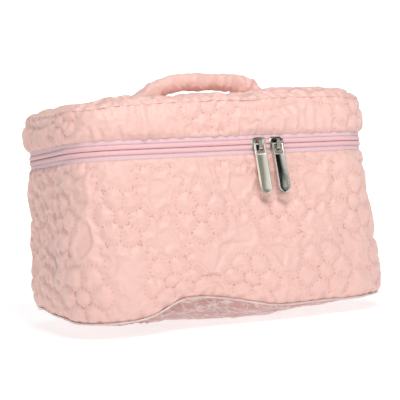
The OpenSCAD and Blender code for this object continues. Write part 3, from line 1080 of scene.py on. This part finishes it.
def puffed(cloth, base, lumps, spare, pressure, reach, extra=None):
    """The cloth on the bag: pulled in along its stitches, then blown out between them."""
    sizes = bpy.context.scene.bag_sizes
    normals = vertex_normals(base, cloth.triangles)
    normals[cloth.partner != np.arange(len(base))] = 0
    distance = cloth.stitch_distance()
    sunk = np.exp(-((distance / (3.4 * MM)) ** 2))
    offset = lumps - sizes.sewn_depth * sunk - 0.5 * MM
    offset -= np.where(cloth.marks == Cloth.HOLE, 0.35 * MM, 0)
    edge = cloth.marks == Cloth.EDGE
    offset[edge] = 0
    if extra is not None:
        offset += extra
    start = base + normals * offset[:, None]
    return inflate(cloth, start, spare, pressure, reach)


def make_wall(name, plan, paths, seed, lumps, edges, nodes, body, pucker_top, pucker_bottom):
    """Face cloth and wadding of one wall. lumps(s, v) is how uneven its stuffing is, and edges holds
    the foot and drop of plan.places."""
    sizes = bpy.context.scene.bag_sizes
    cloth = Cloth(plan.border(sizes.pitch), plan.keeps, paths, sizes.pitch, seed, merge_ends=True)
    s, v = cloth.points.T
    base = plan.places(cloth.points, *edges)
    pleats = ripple(s, 0 * s, 9 * MM, seed + 5, 7)
    near_top = hump(v - plan.height + plan.top_turned + 1.5 * MM, 6 * MM)
    near_foot = hump(v - TURNED - 1.5 * MM, 6 * MM)
    extra = pleats * (pucker_top * near_top + pucker_bottom * near_foot)
    points = puffed(cloth, base, lumps(s, v), sizes.spare, 5.0, sizes.puff, extra)
    points = press_behind_pulls(points)
    skin = face_cloth(name, cloth, points, sizes.cloth_thickness)
    finish_piece(skin, "quilted_cloth", body, nodes[:1])
    normals = vertex_normals(base, cloth.triangles)
    front = points - normals * (sizes.cloth_thickness + 0.3 * MM)
    back = base - normals * (LINING_DEPTH - 0.35 * MM)
    gap = ((front - back) * normals).sum(axis=1)
    front += normals * np.maximum(0.3 * MM - gap, 0)[:, None]
    keep = (v > TURNED + 1.5 * MM) & (v < plan.height - plan.top_turned - 2.5 * MM)
    pad = filling(nodes[1] + "_fill", cloth, front, back, keep)
    finish_piece(pad, "wadding", body, nodes[1:])


def press_behind_pulls(points):
    """Keeps the cloth behind the two pulls, which hang just in front of it."""
    x, y, z = points.T
    face = low("pull_left").y
    bar = high("pull_left").y - 0.8 * MM
    room = bar - (ZIP_Z - z) * math.tan(PULL_LEAN) + 1.3 * MM
    behind = (x > low("pull_left").x - PULL_ROOM) & (x < high("pull_right").x + PULL_ROOM) & (y < 0)
    behind &= (z > low("pull_left").z - PULL_ROOM) & (z < BODY_RIM_Z + 1 * MM)
    points = points.copy()
    points[behind, 1] = np.maximum(y[behind], np.maximum(room[behind], face))
    return points


class BAG_OT_body_wall(bpy.types.Operator):
    """Sews the quilted wall of the body and its wadding"""

    bl_idname = "bag.body_wall"
    bl_label = "Body wall"

    def execute(self, context):
        plan = WallPlan(FOOT_Z, BODY_RIM_Z + 0.2 * MM, BODY_SHAPE, sag=sagged)
        rows = ((36 * MM, 0.5), (92 * MM, 0.0), (148 * MM, 0.5))
        paths = wall_daisies(plan, rows, 21)

        def lumps(s, v):
            soft = 1.3 * MM * ripple(s, v, 95 * MM, 31) + 0.5 * MM * ripple(s, v, 38 * MM, 32, 8)
            return soft * ease(v / (14 * MM)) * ease((plan.height - v) / (16 * MM))

        make_wall("body_wall_quilt", plan, paths, 3, lumps, (seam_height, None),
                  ("body_wall", "body_wadding"), "body", 0.35 * MM, 0.4 * MM)
        return {"FINISHED"}


class BAG_OT_lid_wall(bpy.types.Operator):
    """Sews the quilted wall of the lid and its wadding"""

    bl_idname = "bag.lid_wall"
    bl_label = "Lid wall"

    def execute(self, context):
        plan = WallPlan(LID_RIM_Z - 0.2 * MM, LID_SEAM_Z + 0.2 * MM, LID_SHAPE, LID_TURN)
        paths = wall_daisies(plan, ((174 * MM, 0.2),), 8, 2)

        def lumps(s, v):
            soft = 0.9 * MM * ripple(s, v, 80 * MM, 41) + 0.5 * MM * ripple(s, v, 30 * MM, 42, 8)
            return soft * ease(v / (9 * MM)) * ease((plan.height - v) / (9 * MM))

        make_wall("lid_wall_quilt", plan, paths, 4, lumps, (None, crest_drop),
                  ("lid_wall", "lid_wadding"), "lid", 0.25 * MM, 1.0 * MM)
        return {"FINISHED"}


# ---------------------------------------------------------------- the lid's top and the bottom

def panel_cloth(growth, pitch, paths, seed):
    """Flat cloth of a panel with the bag's outline, grown by growth."""
    s = np.linspace(0, AROUND, round(AROUND / pitch), endpoint=False)

    def keeps(points, margin, seam=0.0):
        x, y = np.asarray(points).T
        return inset_depth(x, y, growth) > margin + seam

    return Cloth(ring_point(s, growth), keeps, paths, pitch, seed)


def lid_dome(x, y):
    """How far the stuffed lid rises above its frame."""
    inside = ease(inset_depth(x, y) / (38 * MM))
    broad = 2.6 * inside
    shoulder = 4.4 * hump(np.hypot(x - 80 * MM, (y + 34 * MM) * 0.8), 34 * MM)
    left_end = 2.4 * hump(np.hypot(x + 68 * MM, y), 22 * MM)
    right_end = 3.4 * hump(np.hypot(x - 74 * MM, y), 22 * MM)
    return (broad + shoulder + left_end + right_end) * MM * ease(inset_depth(x, y) / (14 * MM))


def lid_top_height(x, y):
    """Height of the lid's top before its daisies puff."""
    inset = np.clip(inset_depth(x, y, TOP_GROWTH), 0, None)
    edge = LID_SEAM_Z - 0.1 * MM
    t = np.clip(inset / (26 * MM), 0, 1)
    sunk = crest_drop(ring_place(x, y)) * (1 - 0.75 * ease(inset / (70 * MM)))
    crown = (LID_Z - edge) * np.sqrt(1 - (1 - t) ** 2)
    return edge + crown + lid_dome(x, y) - sunk


def bottom_height(x, y):
    """Height of the bottom panel before it crinkles."""
    growth = SEAM_GROWTH - TURN
    inset = np.clip(inset_depth(x, y, growth), 0, None)
    edge = seam_height(ring_place(x, y)) - 0.9 * MM
    end = ease(np.abs(x - 20 * MM) / (70 * MM))
    t = np.clip(inset / ((58 + 30 * end) * MM), 0, 1)
    return edge * (1 - t) ** (1.45 - 0.35 * end)


class BAG_OT_lid_top(bpy.types.Operator):
    """Sews the quilted top of the lid and its wadding"""

    bl_idname = "bag.lid_top"
    bl_label = "Lid top"

    def execute(self, context):
        sizes = context.scene.bag_sizes
        growth = TOP_GROWTH
        rng = random.Random(5)
        across, deep = 66, 54
        paths = []
        for row, y in enumerate((-deep, 0, deep)):
            for k in range(-2, 3):
                x = (k + 0.5 * (row % 2)) * across + rng.uniform(-3, 3)
                paths += daisy((x * MM, (y + rng.uniform(-3, 3)) * MM), rng.uniform(0, TAU / 6),
                               rng.uniform(0.95, 1.05))

        cloth = panel_cloth(growth, sizes.pitch, paths, 6)
        x, y = cloth.points.T
        inset = inset_depth(x, y, growth)
        base = np.column_stack([x, y, lid_top_height(x, y)])
        lumps = (1.0 * ripple(x, y, 70 * MM, 51) + 0.5 * ripple(x, y, 32 * MM, 52, 8)) * MM
        lumps *= ease(inset / (12 * MM))
        pleats = ripple(ring_place(x, y), 0 * x, 10 * MM, 53, 7)
        extra = 0.6 * MM * pleats * hump(inset - LID_TURN - 2 * MM, 5 * MM)
        points = puffed(cloth, base, lumps, sizes.spare, 5.0, sizes.puff, extra)
        skin = face_cloth("lid_top_quilt", cloth, points, sizes.cloth_thickness)
        finish_piece(skin, "quilted_cloth", "lid", ("lid_top",))
        normals = vertex_normals(points, cloth.triangles)
        front = points - normals * (sizes.cloth_thickness + 0.3 * MM)
        back = front.copy()
        bed = LID_SEAM_Z + 0.4 * MM - np.maximum(crest_drop(ring_place(x, y)), 0)
        back[:, 2] = np.minimum(bed, front[:, 2] - 0.4 * MM)
        pad = filling("lid_top_wadding_fill", cloth, front, back, inset > LID_TURN + 2 * MM)
        finish_piece(pad, "wadding", "lid", ("lid_top_wadding",))
        return {"FINISHED"}


class BAG_OT_bottom(bpy.types.Operator):
    """Crinkled bottom panel, its wadding and the bead along its seam"""

    bl_idname = "bag.bottom"
    bl_label = "Bottom"

    def execute(self, context):
        sizes = context.scene.bag_sizes
        growth = SEAM_GROWTH - TURN

        cloth = panel_cloth(growth, sizes.pitch * 1.1, [], 9)
        x, y = cloth.points.T
        inset = inset_depth(x, y, growth)
        base = np.column_stack([x + SAG, y, bottom_height(x, y)])
        base[:, 2] += 1.3 * MM * ease(inset / (6 * MM))
        lumps = (0.9 * ripple(x, y, 26 * MM, 61, 9) + 0.5 * ripple(x, y, 14 * MM, 62, 9)) * MM
        base[:, 2] += lumps * ease(inset / (5 * MM))
        cloth.triangles = cloth.triangles[:, ::-1].copy()
        cloth.uv = cloth.uv[:, ::-1]
        points = inflate(cloth, base, 0.07, 1.0, 2.2 * MM, frames=14, bending=0.01)
        points[:, 2] = np.maximum(points[:, 2], 0.25 * MM)
        skin = face_cloth("bottom_panel_cloth", cloth, points, sizes.cloth_thickness)
        finish_piece(skin, "bottom_cloth", "body", ("bottom_panel",))
        front = points.copy()
        front[:, 2] += sizes.cloth_thickness + 0.5 * MM
        back = front.copy()
        back[:, 2] = np.maximum(front[:, 2] + 0.4 * MM, np.minimum(bottom_height(x, y) + 4.6 * MM, 11 * MM))
        pad = filling("bottom_wadding_fill", cloth, front, back, inset > 4 * MM)
        bm = bmesh.new()
        bm.from_mesh(pad.data)
        bmesh.ops.recalc_face_normals(bm, faces=bm.faces)
        bm.to_mesh(pad.data)
        bm.free()
        finish_piece(pad, "wadding", "body", ("bottom_wadding",))
        self.bead()
        return {"FINISHED"}

    def bead(self):
        """A soft round bead that follows the seam."""
        radius = 0.85 * MM
        turns = np.linspace(0, TAU, 10, endpoint=False)
        edge = SEAM_GROWTH - 1.3 * MM
        profile = np.column_stack([-edge + radius * np.cos(turns), radius * np.sin(turns)])
        steps = np.linspace(0, AROUND, 400, endpoint=False)
        bead = band_round("bottom_bead_piping", profile, steps, True,
                          lambda s: float(seam_height(s)) - 0.5 * MM, SAG)
        finish_piece(bead, "clear_piping", "body", ("bottom_bead",))


# ---------------------------------------------------------------- linings and bindings

def ring_lining(name, rows, node, body, seed, waves, foot=None, drop=None):
    """A lining that runs round inside a wall. rows lists (growth, height), from one edge to the other.
    foot(s) lifts the lower edge where the seam outside is lifted, and drop(s) lowers the upper edge."""
    steps = np.linspace(0, AROUND, 280, endpoint=False)
    places = np.linspace(rows[0][1], rows[-1][1], max(6, round((rows[-1][1] - rows[0][1]) / (4 * MM))))
    growth = through([(z, g) for g, z in rows], places)
    rings = []
    free = np.sin(np.pi * np.linspace(0, 1, len(places))) ** 0.5
    for s in steps:
        wrinkle = waves * ripple(s, places, 42 * MM, seed, 9) * free
        spots = ring_point(np.full(len(places), s), growth + wrinkle)
        if foot:
            spots[:, 0] += sagged(places)
        lift = max(0.0, float(foot(s)) - places[0]) if foot else 0.0
        sink = float(drop(s)) if drop else 0.0
        heights = places + lift * (1 - ease((places - places[0]) / (45 * MM)))
        rings.append(np.column_stack([spots, heights - sink * ease((places - places[0]) / np.ptp(places))]))
    along = np.arange(len(rings) + 1) * AROUND / len(rings)
    made = bmesh_object(name, quads(rings, along, places, True, False)[0])
    thicken(made, 0.5 * MM)
    finish_piece(made, "lining_cloth", body, (node,))
    float(AROUND + TAU * (np.mean(growth) - MEAN_CORNER + RIM_CORNER))


def panel_lining(name, growth, height, node, body, seed, waves, shift=0.0):
    """A flat lining panel: height(x, y) is where it lies."""
    cloth = panel_cloth(growth, 5 * MM, [], seed)
    x, y = cloth.points.T
    free = ease(inset_depth(x, y, growth) / (12 * MM))
    z = height(x, y) + waves * ripple(x, y, 45 * MM, seed, 9) * free
    skin = face_cloth(name, cloth, np.column_stack([x + shift, y, z]), 0.5 * MM)
    finish_piece(skin, "lining_cloth", body, (node,))


class BAG_OT_linings(bpy.types.Operator):
    """Linings of body, bottom and lid, and the bindings inside both rims"""

    bl_idname = "bag.linings"
    bl_label = "Linings and bindings"

    def execute(self, context):
        depth = LINING_DEPTH + 0.5 * MM
        floor = FLOOR_TOP_Z + 0.3 * MM
        body_rows = [(g - depth, max(z, floor)) for z, g in BODY_SHAPE]
        body_rows[-1] = (body_rows[-1][0], BODY_RIM_Z - 1.5 * MM)
        ring_lining("body_lining_cloth", body_rows, "body_lining", "body", 71, 0.45 * MM,
                    lambda s: seam_height(s) + 0.5 * MM)

        def ceiling_drop(s):
            return np.maximum(crest_drop(s), 0) + 0.6 * MM

        lid_rows = [(-depth, LID_RIM_Z + 1.5 * MM), (-depth, LID_SEAM_Z - 14 * MM),
                    (-depth, LID_SEAM_Z - 1.4 * MM)]
        ring_lining("lid_lining_cloth", lid_rows, "lid_lining", "lid", 72, 0.4 * MM, None, ceiling_drop)
        low_floor = low("bottom_lining").z
        edge = high("bottom_lining").x - RIM_X - 1 * MM

        def floor_height(x, y):
            t = np.clip(inset_depth(x, y, edge) / (30 * MM), 0, 1)
            plain = low_floor + 1 * MM + (FLOOR_TOP_Z - low_floor - 1 * MM) * (1 - t) ** 1.8
            return np.maximum(plain, bottom_height(x, y) + 6 * MM)

        panel_lining("bottom_lining_cloth", edge, floor_height, "bottom_lining", "body", 73, 0.5 * MM, SAG)
        ceiling = low("lid_top_lining").z + 0.4 * MM
        panel_lining("lid_top_lining_cloth", high("lid_top_lining").x - RIM_X,
                     lambda x, y: ceiling - ceiling_drop(ring_place(x, y)), "lid_top_lining", "lid", 74,
                     0.3 * MM)
        for side, rim, way in (("body", BODY_RIM_Z, -1), ("lid", LID_RIM_Z, 1)):
            self.binding(side, rim, way)
        return {"FINISHED"}

    def binding(self, side, rim, way):
        """A tape folded over the raw edges inside a rim."""
        inner, outer, fold = 7.25 * MM, TAPE_DEPTH + 0.85 * MM, 0.9 * MM
        tall = 7.9 * MM
        profile = [(inner, rim + way * tall), (inner - 0.1 * MM, rim + way * 4 * MM),
                   (inner, rim + way * 1.2 * MM), (inner - 0.6 * MM, rim + way * 0.3 * MM),
                   ((inner + outer) / 2, rim + way * 0.05 * MM), (outer + 0.5 * MM, rim + way * 0.3 * MM),
                   (outer, rim + way * 1.1 * MM), (outer + 0.1 * MM, rim + way * 1.4 * MM),
                   ((inner + outer) / 2, rim + way * 1.2 * MM), (inner - fold, rim + way * 1.7 * MM),
                   (inner - fold, rim + way * tall)]
        profile = profile if way < 0 else profile[::-1]
        steps = np.linspace(0, AROUND, 320, endpoint=False)
        piece = band_round(f"{side}_rim_binding_tape", profile, steps, True)
        finish_piece(piece, "binding_tape", side, (f"{side}_rim_binding",))


# ---------------------------------------------------------------- the zip

ZIP_ENDS = high("hinge_strip_lower").x - 12 * MM


def zip_path(count):
    """Places round the bag from one end of the zip, near the back left corner, to the other."""
    return np.linspace(ZIP_ENDS, AROUND - ZIP_ENDS, count)


class BAG_OT_zip(bpy.types.Operator):
    """Tapes, coils and end tabs of the zip"""

    bl_idname = "bag.zip"
    bl_label = "Zip"

    def execute(self, context):
        for name, body, way in (("lower", "body", -1), ("upper", "lid", 1)):
            self.tape(name, body, way)
            self.coil(name, body, way)
        for side in ("left", "right"):
            self.tab(side)
        return {"FINISHED"}

    def tape(self, name, body, way):
        """Woven tape with the rounded fold that covers its coil."""
        away = (0.1, 0.7, 1.5, 2.1, 2.8, 3.5, 3.95, 4.15, 4.4, 5.5, 7.2, 8.0, 11.0, 16.6)
        proud = (0.3, 0.8, 1.2, 1.3, 1.2, 0.8, 0.3, 0.0, 0.12, 0.15, 0.1, 0.0, 0.0, 0.0)
        front = [(TAPE_DEPTH - p * MM, ZIP_Z + way * a * MM) for a, p in zip(away, proud)]
        back_depth = TAPE_DEPTH + 0.75 * MM
        back = [(back_depth, ZIP_Z + way * 16.6 * MM), (back_depth, ZIP_Z + way * 8 * MM),
                (back_depth, ZIP_Z + way * 0.6 * MM)]
        piece = band_round(f"zip_tape_{name}_woven", front + back, zip_path(420), False)
        lines = piece.data.attributes.new("seam", "FLOAT", "POINT")
        z = np.array([abs(v.co.z - ZIP_Z) / MM for v in piece.data.vertices])
        # The dark lines lie at the middle, where painted shade fills the gap between the tapes, beside the
        # ridge, where painted shade fills the groove, and along the sewing.
        dark = 0.7 * hump(z - 0.1, 0.3) + hump(z - 4.15, 0.28) + hump(z - 7.9, 0.5)
        lines.data.foreach_set("value", np.clip(dark, 0, 1).astype(np.float32))
        ridge = piece.data.attributes.new("ridge", "FLOAT", "POINT")
        ridge.data.foreach_set("value", (z < 3.9).astype(np.float32))
        finish_piece(piece, "zip_tape", body, (f"zip_tape_{name}",))
        AROUND - 2 * ZIP_ENDS

    def coil(self, name, body, way):
        """The coil behind the tape, one turn every two millimetres."""
        node = f"zip_coil_{name}"
        middle = (low(node).z + high(node).z) / 2
        tall = (high(node).z - low(node).z) / 2 - 0.35 * MM
        depth = RIM_Y - (high(node).y - 1 * MM)
        turns = round((AROUND - 2 * ZIP_ENDS) / (2.1 * MM))
        steps = 9
        angle = np.linspace(0, TAU * turns, turns * steps + 1)
        s = np.linspace(ZIP_ENDS, AROUND - ZIP_ENDS, len(angle))
        spots = ring_point(s, -depth + 0.62 * MM * np.sin(angle))
        heights = middle + way * tall * np.cos(angle)
        curve = bpy.data.curves.new("coil_wire", "CURVE")
        curve.dimensions = "3D"
        curve.bevel_depth = 0.33 * MM
        curve.bevel_resolution = 0
        curve.use_fill_caps = True
        spline = curve.splines.new("POLY")
        spline.points.add(len(angle) - 1)
        spline.points.foreach_set("co", np.column_stack([spots, heights, np.ones(len(s))]).ravel())
        wire = add_object("coil_wire", curve)
        mesh = bpy.data.meshes.new_from_object(evaluated(wire))
        bpy.data.objects.remove(wire)
        piece = add_object(f"{node}_wire", mesh)
        finish_piece(piece, "zip_coil", body, (node,))

    def tab(self, side):
        """A folded cloth tab sewn over one end of the zip."""
        node = f"zip_tab_{side}"
        bm = bmesh.new()
        bmesh.ops.create_cube(bm, size=1)
        middle = (low(node) + high(node)) / 2
        bmesh.ops.scale(bm, vec=high(node) - low(node), verts=bm.verts)
        bmesh.ops.translate(bm, vec=middle, verts=bm.verts)
        bmesh.ops.bevel(bm, geom=bm.edges[:], offset=0.42 * MM, segments=3, affect="EDGES", profile=0.5,
                        material=-1)
        bmesh.ops.subdivide_edges(bm, edges=[e for e in bm.edges if e.calc_length() > 4 * MM], cuts=5,
                                  use_grid_fill=True)
        for vert in bm.verts:
            across = math.cos((vert.co.z - middle.z) * TAU / (high(node).z - low(node).z))
            vert.co.y += 0.18 * MM * (across - math.cos((vert.co.x - middle.x) * TAU / (6 * MM)) * 0.6)
        uv_layer = bm.loops.layers.uv.new("Cloth")
        for face in bm.faces:
            for loop in face.loops:
                loop[uv_layer].uv = (loop.vert.co.x, loop.vert.co.z)
        piece = bmesh_object(f"{node}_cloth", bm)
        finish_piece(piece, "binding_tape", "body", (node,))


class BAG_OT_hinge(bpy.types.Operator):
    """The cloth strip along the back that joins lid and body"""

    bl_idname = "bag.hinge"
    bl_label = "Hinge strip"

    def execute(self, context):
        below, above = low("hinge_strip_lower"), high("hinge_strip_upper")
        wide, tall = above.x - below.x, above.z - below.z
        bm = bmesh.new()
        bmesh.ops.create_grid(bm, x_segments=110, y_segments=30, size=0.5, calc_uvs=False)
        uv_layer = bm.loops.layers.uv.new("Cloth")
        for face in bm.faces:
            for loop in face.loops:
                loop[uv_layer].uv = ((loop.vert.co.x + 0.5) * wide, (loop.vert.co.y + 0.5) * tall)
        for vert in bm.verts:
            x, up = vert.co.x * wide, vert.co.y * tall
            bend = 0.12 * MM * math.sin(x * TAU / (13 * MM))
            bend += 0.1 * MM * math.sin(x * TAU / (7.3 * MM) + up * 300)
            vert.co = (x, (below.y + above.y) / 2 + bend * math.cos(vert.co.y * math.pi), ZIP_Z + up)
        bmesh.ops.reverse_faces(bm, faces=bm.faces)
        strip = bmesh_object("hinge_strip_cloth", bm)
        thicken(strip, 0.6 * MM)
        finish_piece(strip, "zip_tape", None, ("hinge_strip_lower", "hinge_strip_upper"))
        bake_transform(strip)
        return {"FINISHED"}


# ---------------------------------------------------------------- the handle

class BAG_OT_handle(bpy.types.Operator):
    """The padded handle with its sewn ends, and the rope inside it"""

    bl_idname = "bag.handle"
    bl_label = "Handle"

    def execute(self, context):
        self.cover()
        self.core()
        return {"FINISHED"}

    def centre_line(self, u):
        """Place and direction of the handle's middle line, for u from -1 to 1."""
        span = high("handle_cover").x - 1.2 * MM
        top = high("handle_cover").z - high("handle_cover").y
        foot = LID_Z + 5.3 * MM
        raised = np.where(u < 0, ease((u + 0.8) / 0.72), 1 - np.abs(u) ** 4.5)
        return span * u, foot + (top - foot) * raised

    def flatness(self, u):
        """0 where the handle is round, 1 where it lies flat on the lid."""
        return np.where(u < 0, ease((-u - 0.42) / 0.45), ease((u - 0.8) / 0.2))

    def tube(self, name, reach, along, around, drop, section):
        """A closed skin round the middle line, drop lower where it lies flat. section(x, end, turns)
        gives its points' distances to the side and up, where end is its flatness."""
        u = np.linspace(-reach, reach, along)
        x, z = self.centre_line(u)
        end = self.flatness(u)
        z = z - end * drop
        slope = np.arctan2(np.gradient(z), np.gradient(x))
        turns = np.linspace(0, TAU, around, endpoint=False)
        rings = []
        for k in range(along):
            side, lift = section(x[k], end[k], turns)
            rings.append(np.column_stack([x[k] - np.sin(slope[k]) * lift, side,
                                          z[k] + np.cos(slope[k]) * lift]))
        return loft(name, rings, False)

    def cover(self):
        """Face cloth of the handle, gathered along its length. Its ends spread where they lie flat."""

        def section(x, end, turns):
            twist = turns * 2 + x * 520
            gather = 0.4 * np.sin(twist + 1.3 * np.sin(x * 210)) + 0.1 * np.sin(3 * turns - x * 930)
            gather += 0.1 * np.sin(5 * turns + x * 700 + 2 * np.sin(turns))
            swell = 1 + 0.035 * math.sin(x * 150 + 1) + 0.03 * math.sin(x * 260)
            spread = swell + gather * 0.075
            side = (7.7 + 2.6 * end) * MM * np.cos(turns) * spread
            return side, (7.7 - 5.2 * end) * MM * np.sin(turns) * spread

        cover = self.tube("handle_cover_cloth", 1, 150, 44, 3.2 * MM, section)
        self.swell_cover(cover)
        smooth = cover.modifiers.new("Smooth", "SUBSURF")
        smooth.levels = smooth.render_levels = 1
        apply_modifiers(cover)
        for name in ("hole", "thread"):
            cover.data.attributes.new(name, "FLOAT", "POINT")
        nodes = ("handle_cover", "handle_anchor_left", "handle_anchor_right")
        finish_piece(cover, "quilted_cloth", None, nodes)
        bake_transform(cover)

    def swell_cover(self, cover):
        """Blows the cover out over its rope, so that the spare cloth gathers."""
        x = np.abs([v.co.x for v in cover.data.vertices])
        held = np.flatnonzero(x > x.max() - 9 * MM)
        points = blow_out(cover, held, 0.06, 2.0, 1.6 * MM, 14, 0.01)
        cover.data.vertices.foreach_set("co", points.ravel())

    def core(self):
        """Twisted soft rope inside the cover."""

        def section(x, end, turns):
            strands = 0.12 * np.cos(3 * (turns + x * 190))
            radius = (5.4 - 4.4 * end) * MM * (1 + strands)
            return radius * np.cos(turns), radius * np.sin(turns)

        core = self.tube("handle_core_rope", 0.93, 120, 18, 2.9 * MM, section)
        finish_piece(core, "wadding", "handle", ("handle_core",))


# ---------------------------------------------------------------- the metal

class BAG_OT_hardware(bpy.types.Operator):
    """Sliders and pulls, with softened edges and plated finishes"""

    bl_idname = "bag.hardware"
    bl_label = "Sliders and pulls"

    def execute(self, context):
        for name, finish in (("slider_left", "slider_nickel"), ("slider_right", "slider_nickel"),
                             ("pull_left", "pull_hammered"), ("pull_right", "pull_polished")):
            self.plated(name, finish)
        return {"FINISHED"}

    def plated(self, name, finish):
        """A frame node's shape with its sharp edges rounded over."""
        bm = bmesh.new()
        bm.from_mesh(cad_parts[name].data)
        bmesh.ops.remove_doubles(bm, verts=bm.verts, dist=0.01 * MM)
        bmesh.ops.dissolve_limit(bm, angle_limit=math.radians(1), verts=bm.verts, edges=bm.edges)
        bmesh.ops.recalc_face_normals(bm, faces=bm.faces)
        piece = bmesh_object(f"{name}_plated", bm)
        soft = piece.modifiers.new("Edges", "BEVEL")
        soft.width = 0.22 * MM
        soft.segments = 3
        soft.limit_method = "ANGLE"
        soft.angle_limit = math.radians(35)
        soft.harden_normals = True
        apply_modifiers(piece)
        slot = "slider_nickel" if name.startswith("slider") else "pull_nickel"
        finish_piece(piece, finish, name, (name,), slot)


# ---------------------------------------------------------------- the stage

class BAG_OT_stage(bpy.types.Operator):
    """Camera, soft lights and a plain pale floor that curves up behind the bag"""

    bl_idname = "bag.stage"
    bl_label = "Camera, lights and floor"

    def execute(self, context):
        self.camera(context.scene.bag_sizes)
        self.floor()
        self.lights()
        return {"FINISHED"}

    def camera(self, sizes):
        back = Vector((-math.sin(sizes.camera_turn), -math.cos(sizes.camera_turn), 0))
        data = bpy.data.cameras.new("camera")
        camera = add_object("camera", data)
        data.sensor_width = 36
        data.lens = sizes.lens
        data.shift_x = 0.0075
        data.shift_y = -0.0145
        data.clip_start = 0.05
        data.clip_end = 20
        camera.location = back * sizes.camera_distance + Vector((0, 0, sizes.camera_height))
        camera.rotation_mode = "QUATERNION"
        level = (-back).to_track_quat("-Z", "Y")
        camera.rotation_quaternion = level @ Quaternion((0, 0, 1), -sizes.camera_roll)
        bpy.context.scene.camera = camera

    def floor(self):
        """A paper sweep: flat under the bag, then up in a wide curve all round."""
        bm = bmesh.new()
        bmesh.ops.create_circle(bm, radius=1.6, segments=96, cap_ends=True)
        rim = [edge for edge in bm.edges]
        for k in range(1, 13):
            angle = k / 12 * TAU / 4
            made = bmesh.ops.extrude_edge_only(bm, edges=rim)["geom"]
            verts = [g for g in made if isinstance(g, bmesh.types.BMVert)]
            rim = [g for g in made if isinstance(g, bmesh.types.BMEdge)]
            rim = [edge for edge in rim if all(v in verts for v in edge.verts)]
            reach = 1.6 + 1.2 * math.sin(angle)
            for vert in verts:
                way = Vector((vert.co.x, vert.co.y, 0)).normalized()
                vert.co = way * reach + Vector((0, 0, 1.2 * (1 - math.cos(angle))))
        bmesh.ops.recalc_face_normals(bm, faces=bm.faces)
        paper = bmesh_object("paper_sweep", bm)
        paper.data.materials.append(stage_finish("paper", (0.5, 0.5, 0.5), 1.36))
        shade_smooth(paper)

    def light(self, name, place, size, power, target=(0, 0, 0.1)):
        data = bpy.data.lights.new(name, "AREA")
        data.shape = "DISK"
        data.size = size
        data.energy = power
        light = add_object(name, data)
        light.location = place
        light.rotation_mode = "QUATERNION"
        light.rotation_quaternion = (Vector(target) - Vector(place)).to_track_quat("-Z", "Y")

    def lights(self):
        world = bpy.data.worlds.new("studio")
        world.use_nodes = True
        world.node_tree.nodes["Background"].inputs["Color"].default_value = (1, 1, 1, 1)
        world.node_tree.nodes["Background"].inputs["Strength"].default_value = 0.2
        scene = bpy.context.scene
        scene.world = world
        scene.view_settings.view_transform = "Standard"
        self.light("key", (-0.12, -0.55, 0.66), 0.3, 3.5)
        self.light("top", (0.1, 0.1, 1.4), 0.8, 4)
        self.light("backdrop", (0.5, 1.1, 1.1), 1.0, 26, (1.05, 2.4, 0.2))


class BAG_PT_panel(bpy.types.Panel):
    """Lists the steps of the bag in the sidebar"""

    bl_idname = "BAG_PT_panel"
    bl_label = "Makeup bag"
    bl_space_type = "VIEW_3D"
    bl_region_type = "UI"
    bl_category = "Makeup Bag"

    def draw(self, context):
        for step in STEPS:
            self.layout.operator(step.bl_idname)
        for group in (context.scene.bag_sizes, context.scene.bag_colours):
            box = self.layout.box()
            for name in group.__annotations__:
                box.prop(group, name)


STEPS = (
    BAG_OT_stage,
    BAG_OT_body_wall,
    BAG_OT_lid_wall,
    BAG_OT_lid_top,
    BAG_OT_bottom,
    BAG_OT_linings,
    BAG_OT_zip,
    BAG_OT_hinge,
    BAG_OT_handle,
    BAG_OT_hardware,
)
CLASSES = (BagSizes, BagColours, *STEPS, BAG_PT_panel)


def register():
    for made in CLASSES:
        bpy.utils.register_class(made)
    bpy.types.Scene.bag_sizes = bpy.props.PointerProperty(type=BagSizes)
    bpy.types.Scene.bag_colours = bpy.props.PointerProperty(type=BagColours)


def unregister():
    del bpy.types.Scene.bag_colours
    del bpy.types.Scene.bag_sizes
    for made in reversed(CLASSES):
        bpy.utils.unregister_class(made)


def main():
    """Makes the whole bag."""
    register()
    for step in STEPS:
        area, name = step.bl_idname.split(".")
        getattr(getattr(bpy.ops, area), name)()


if __name__ == "__main__":
    main()
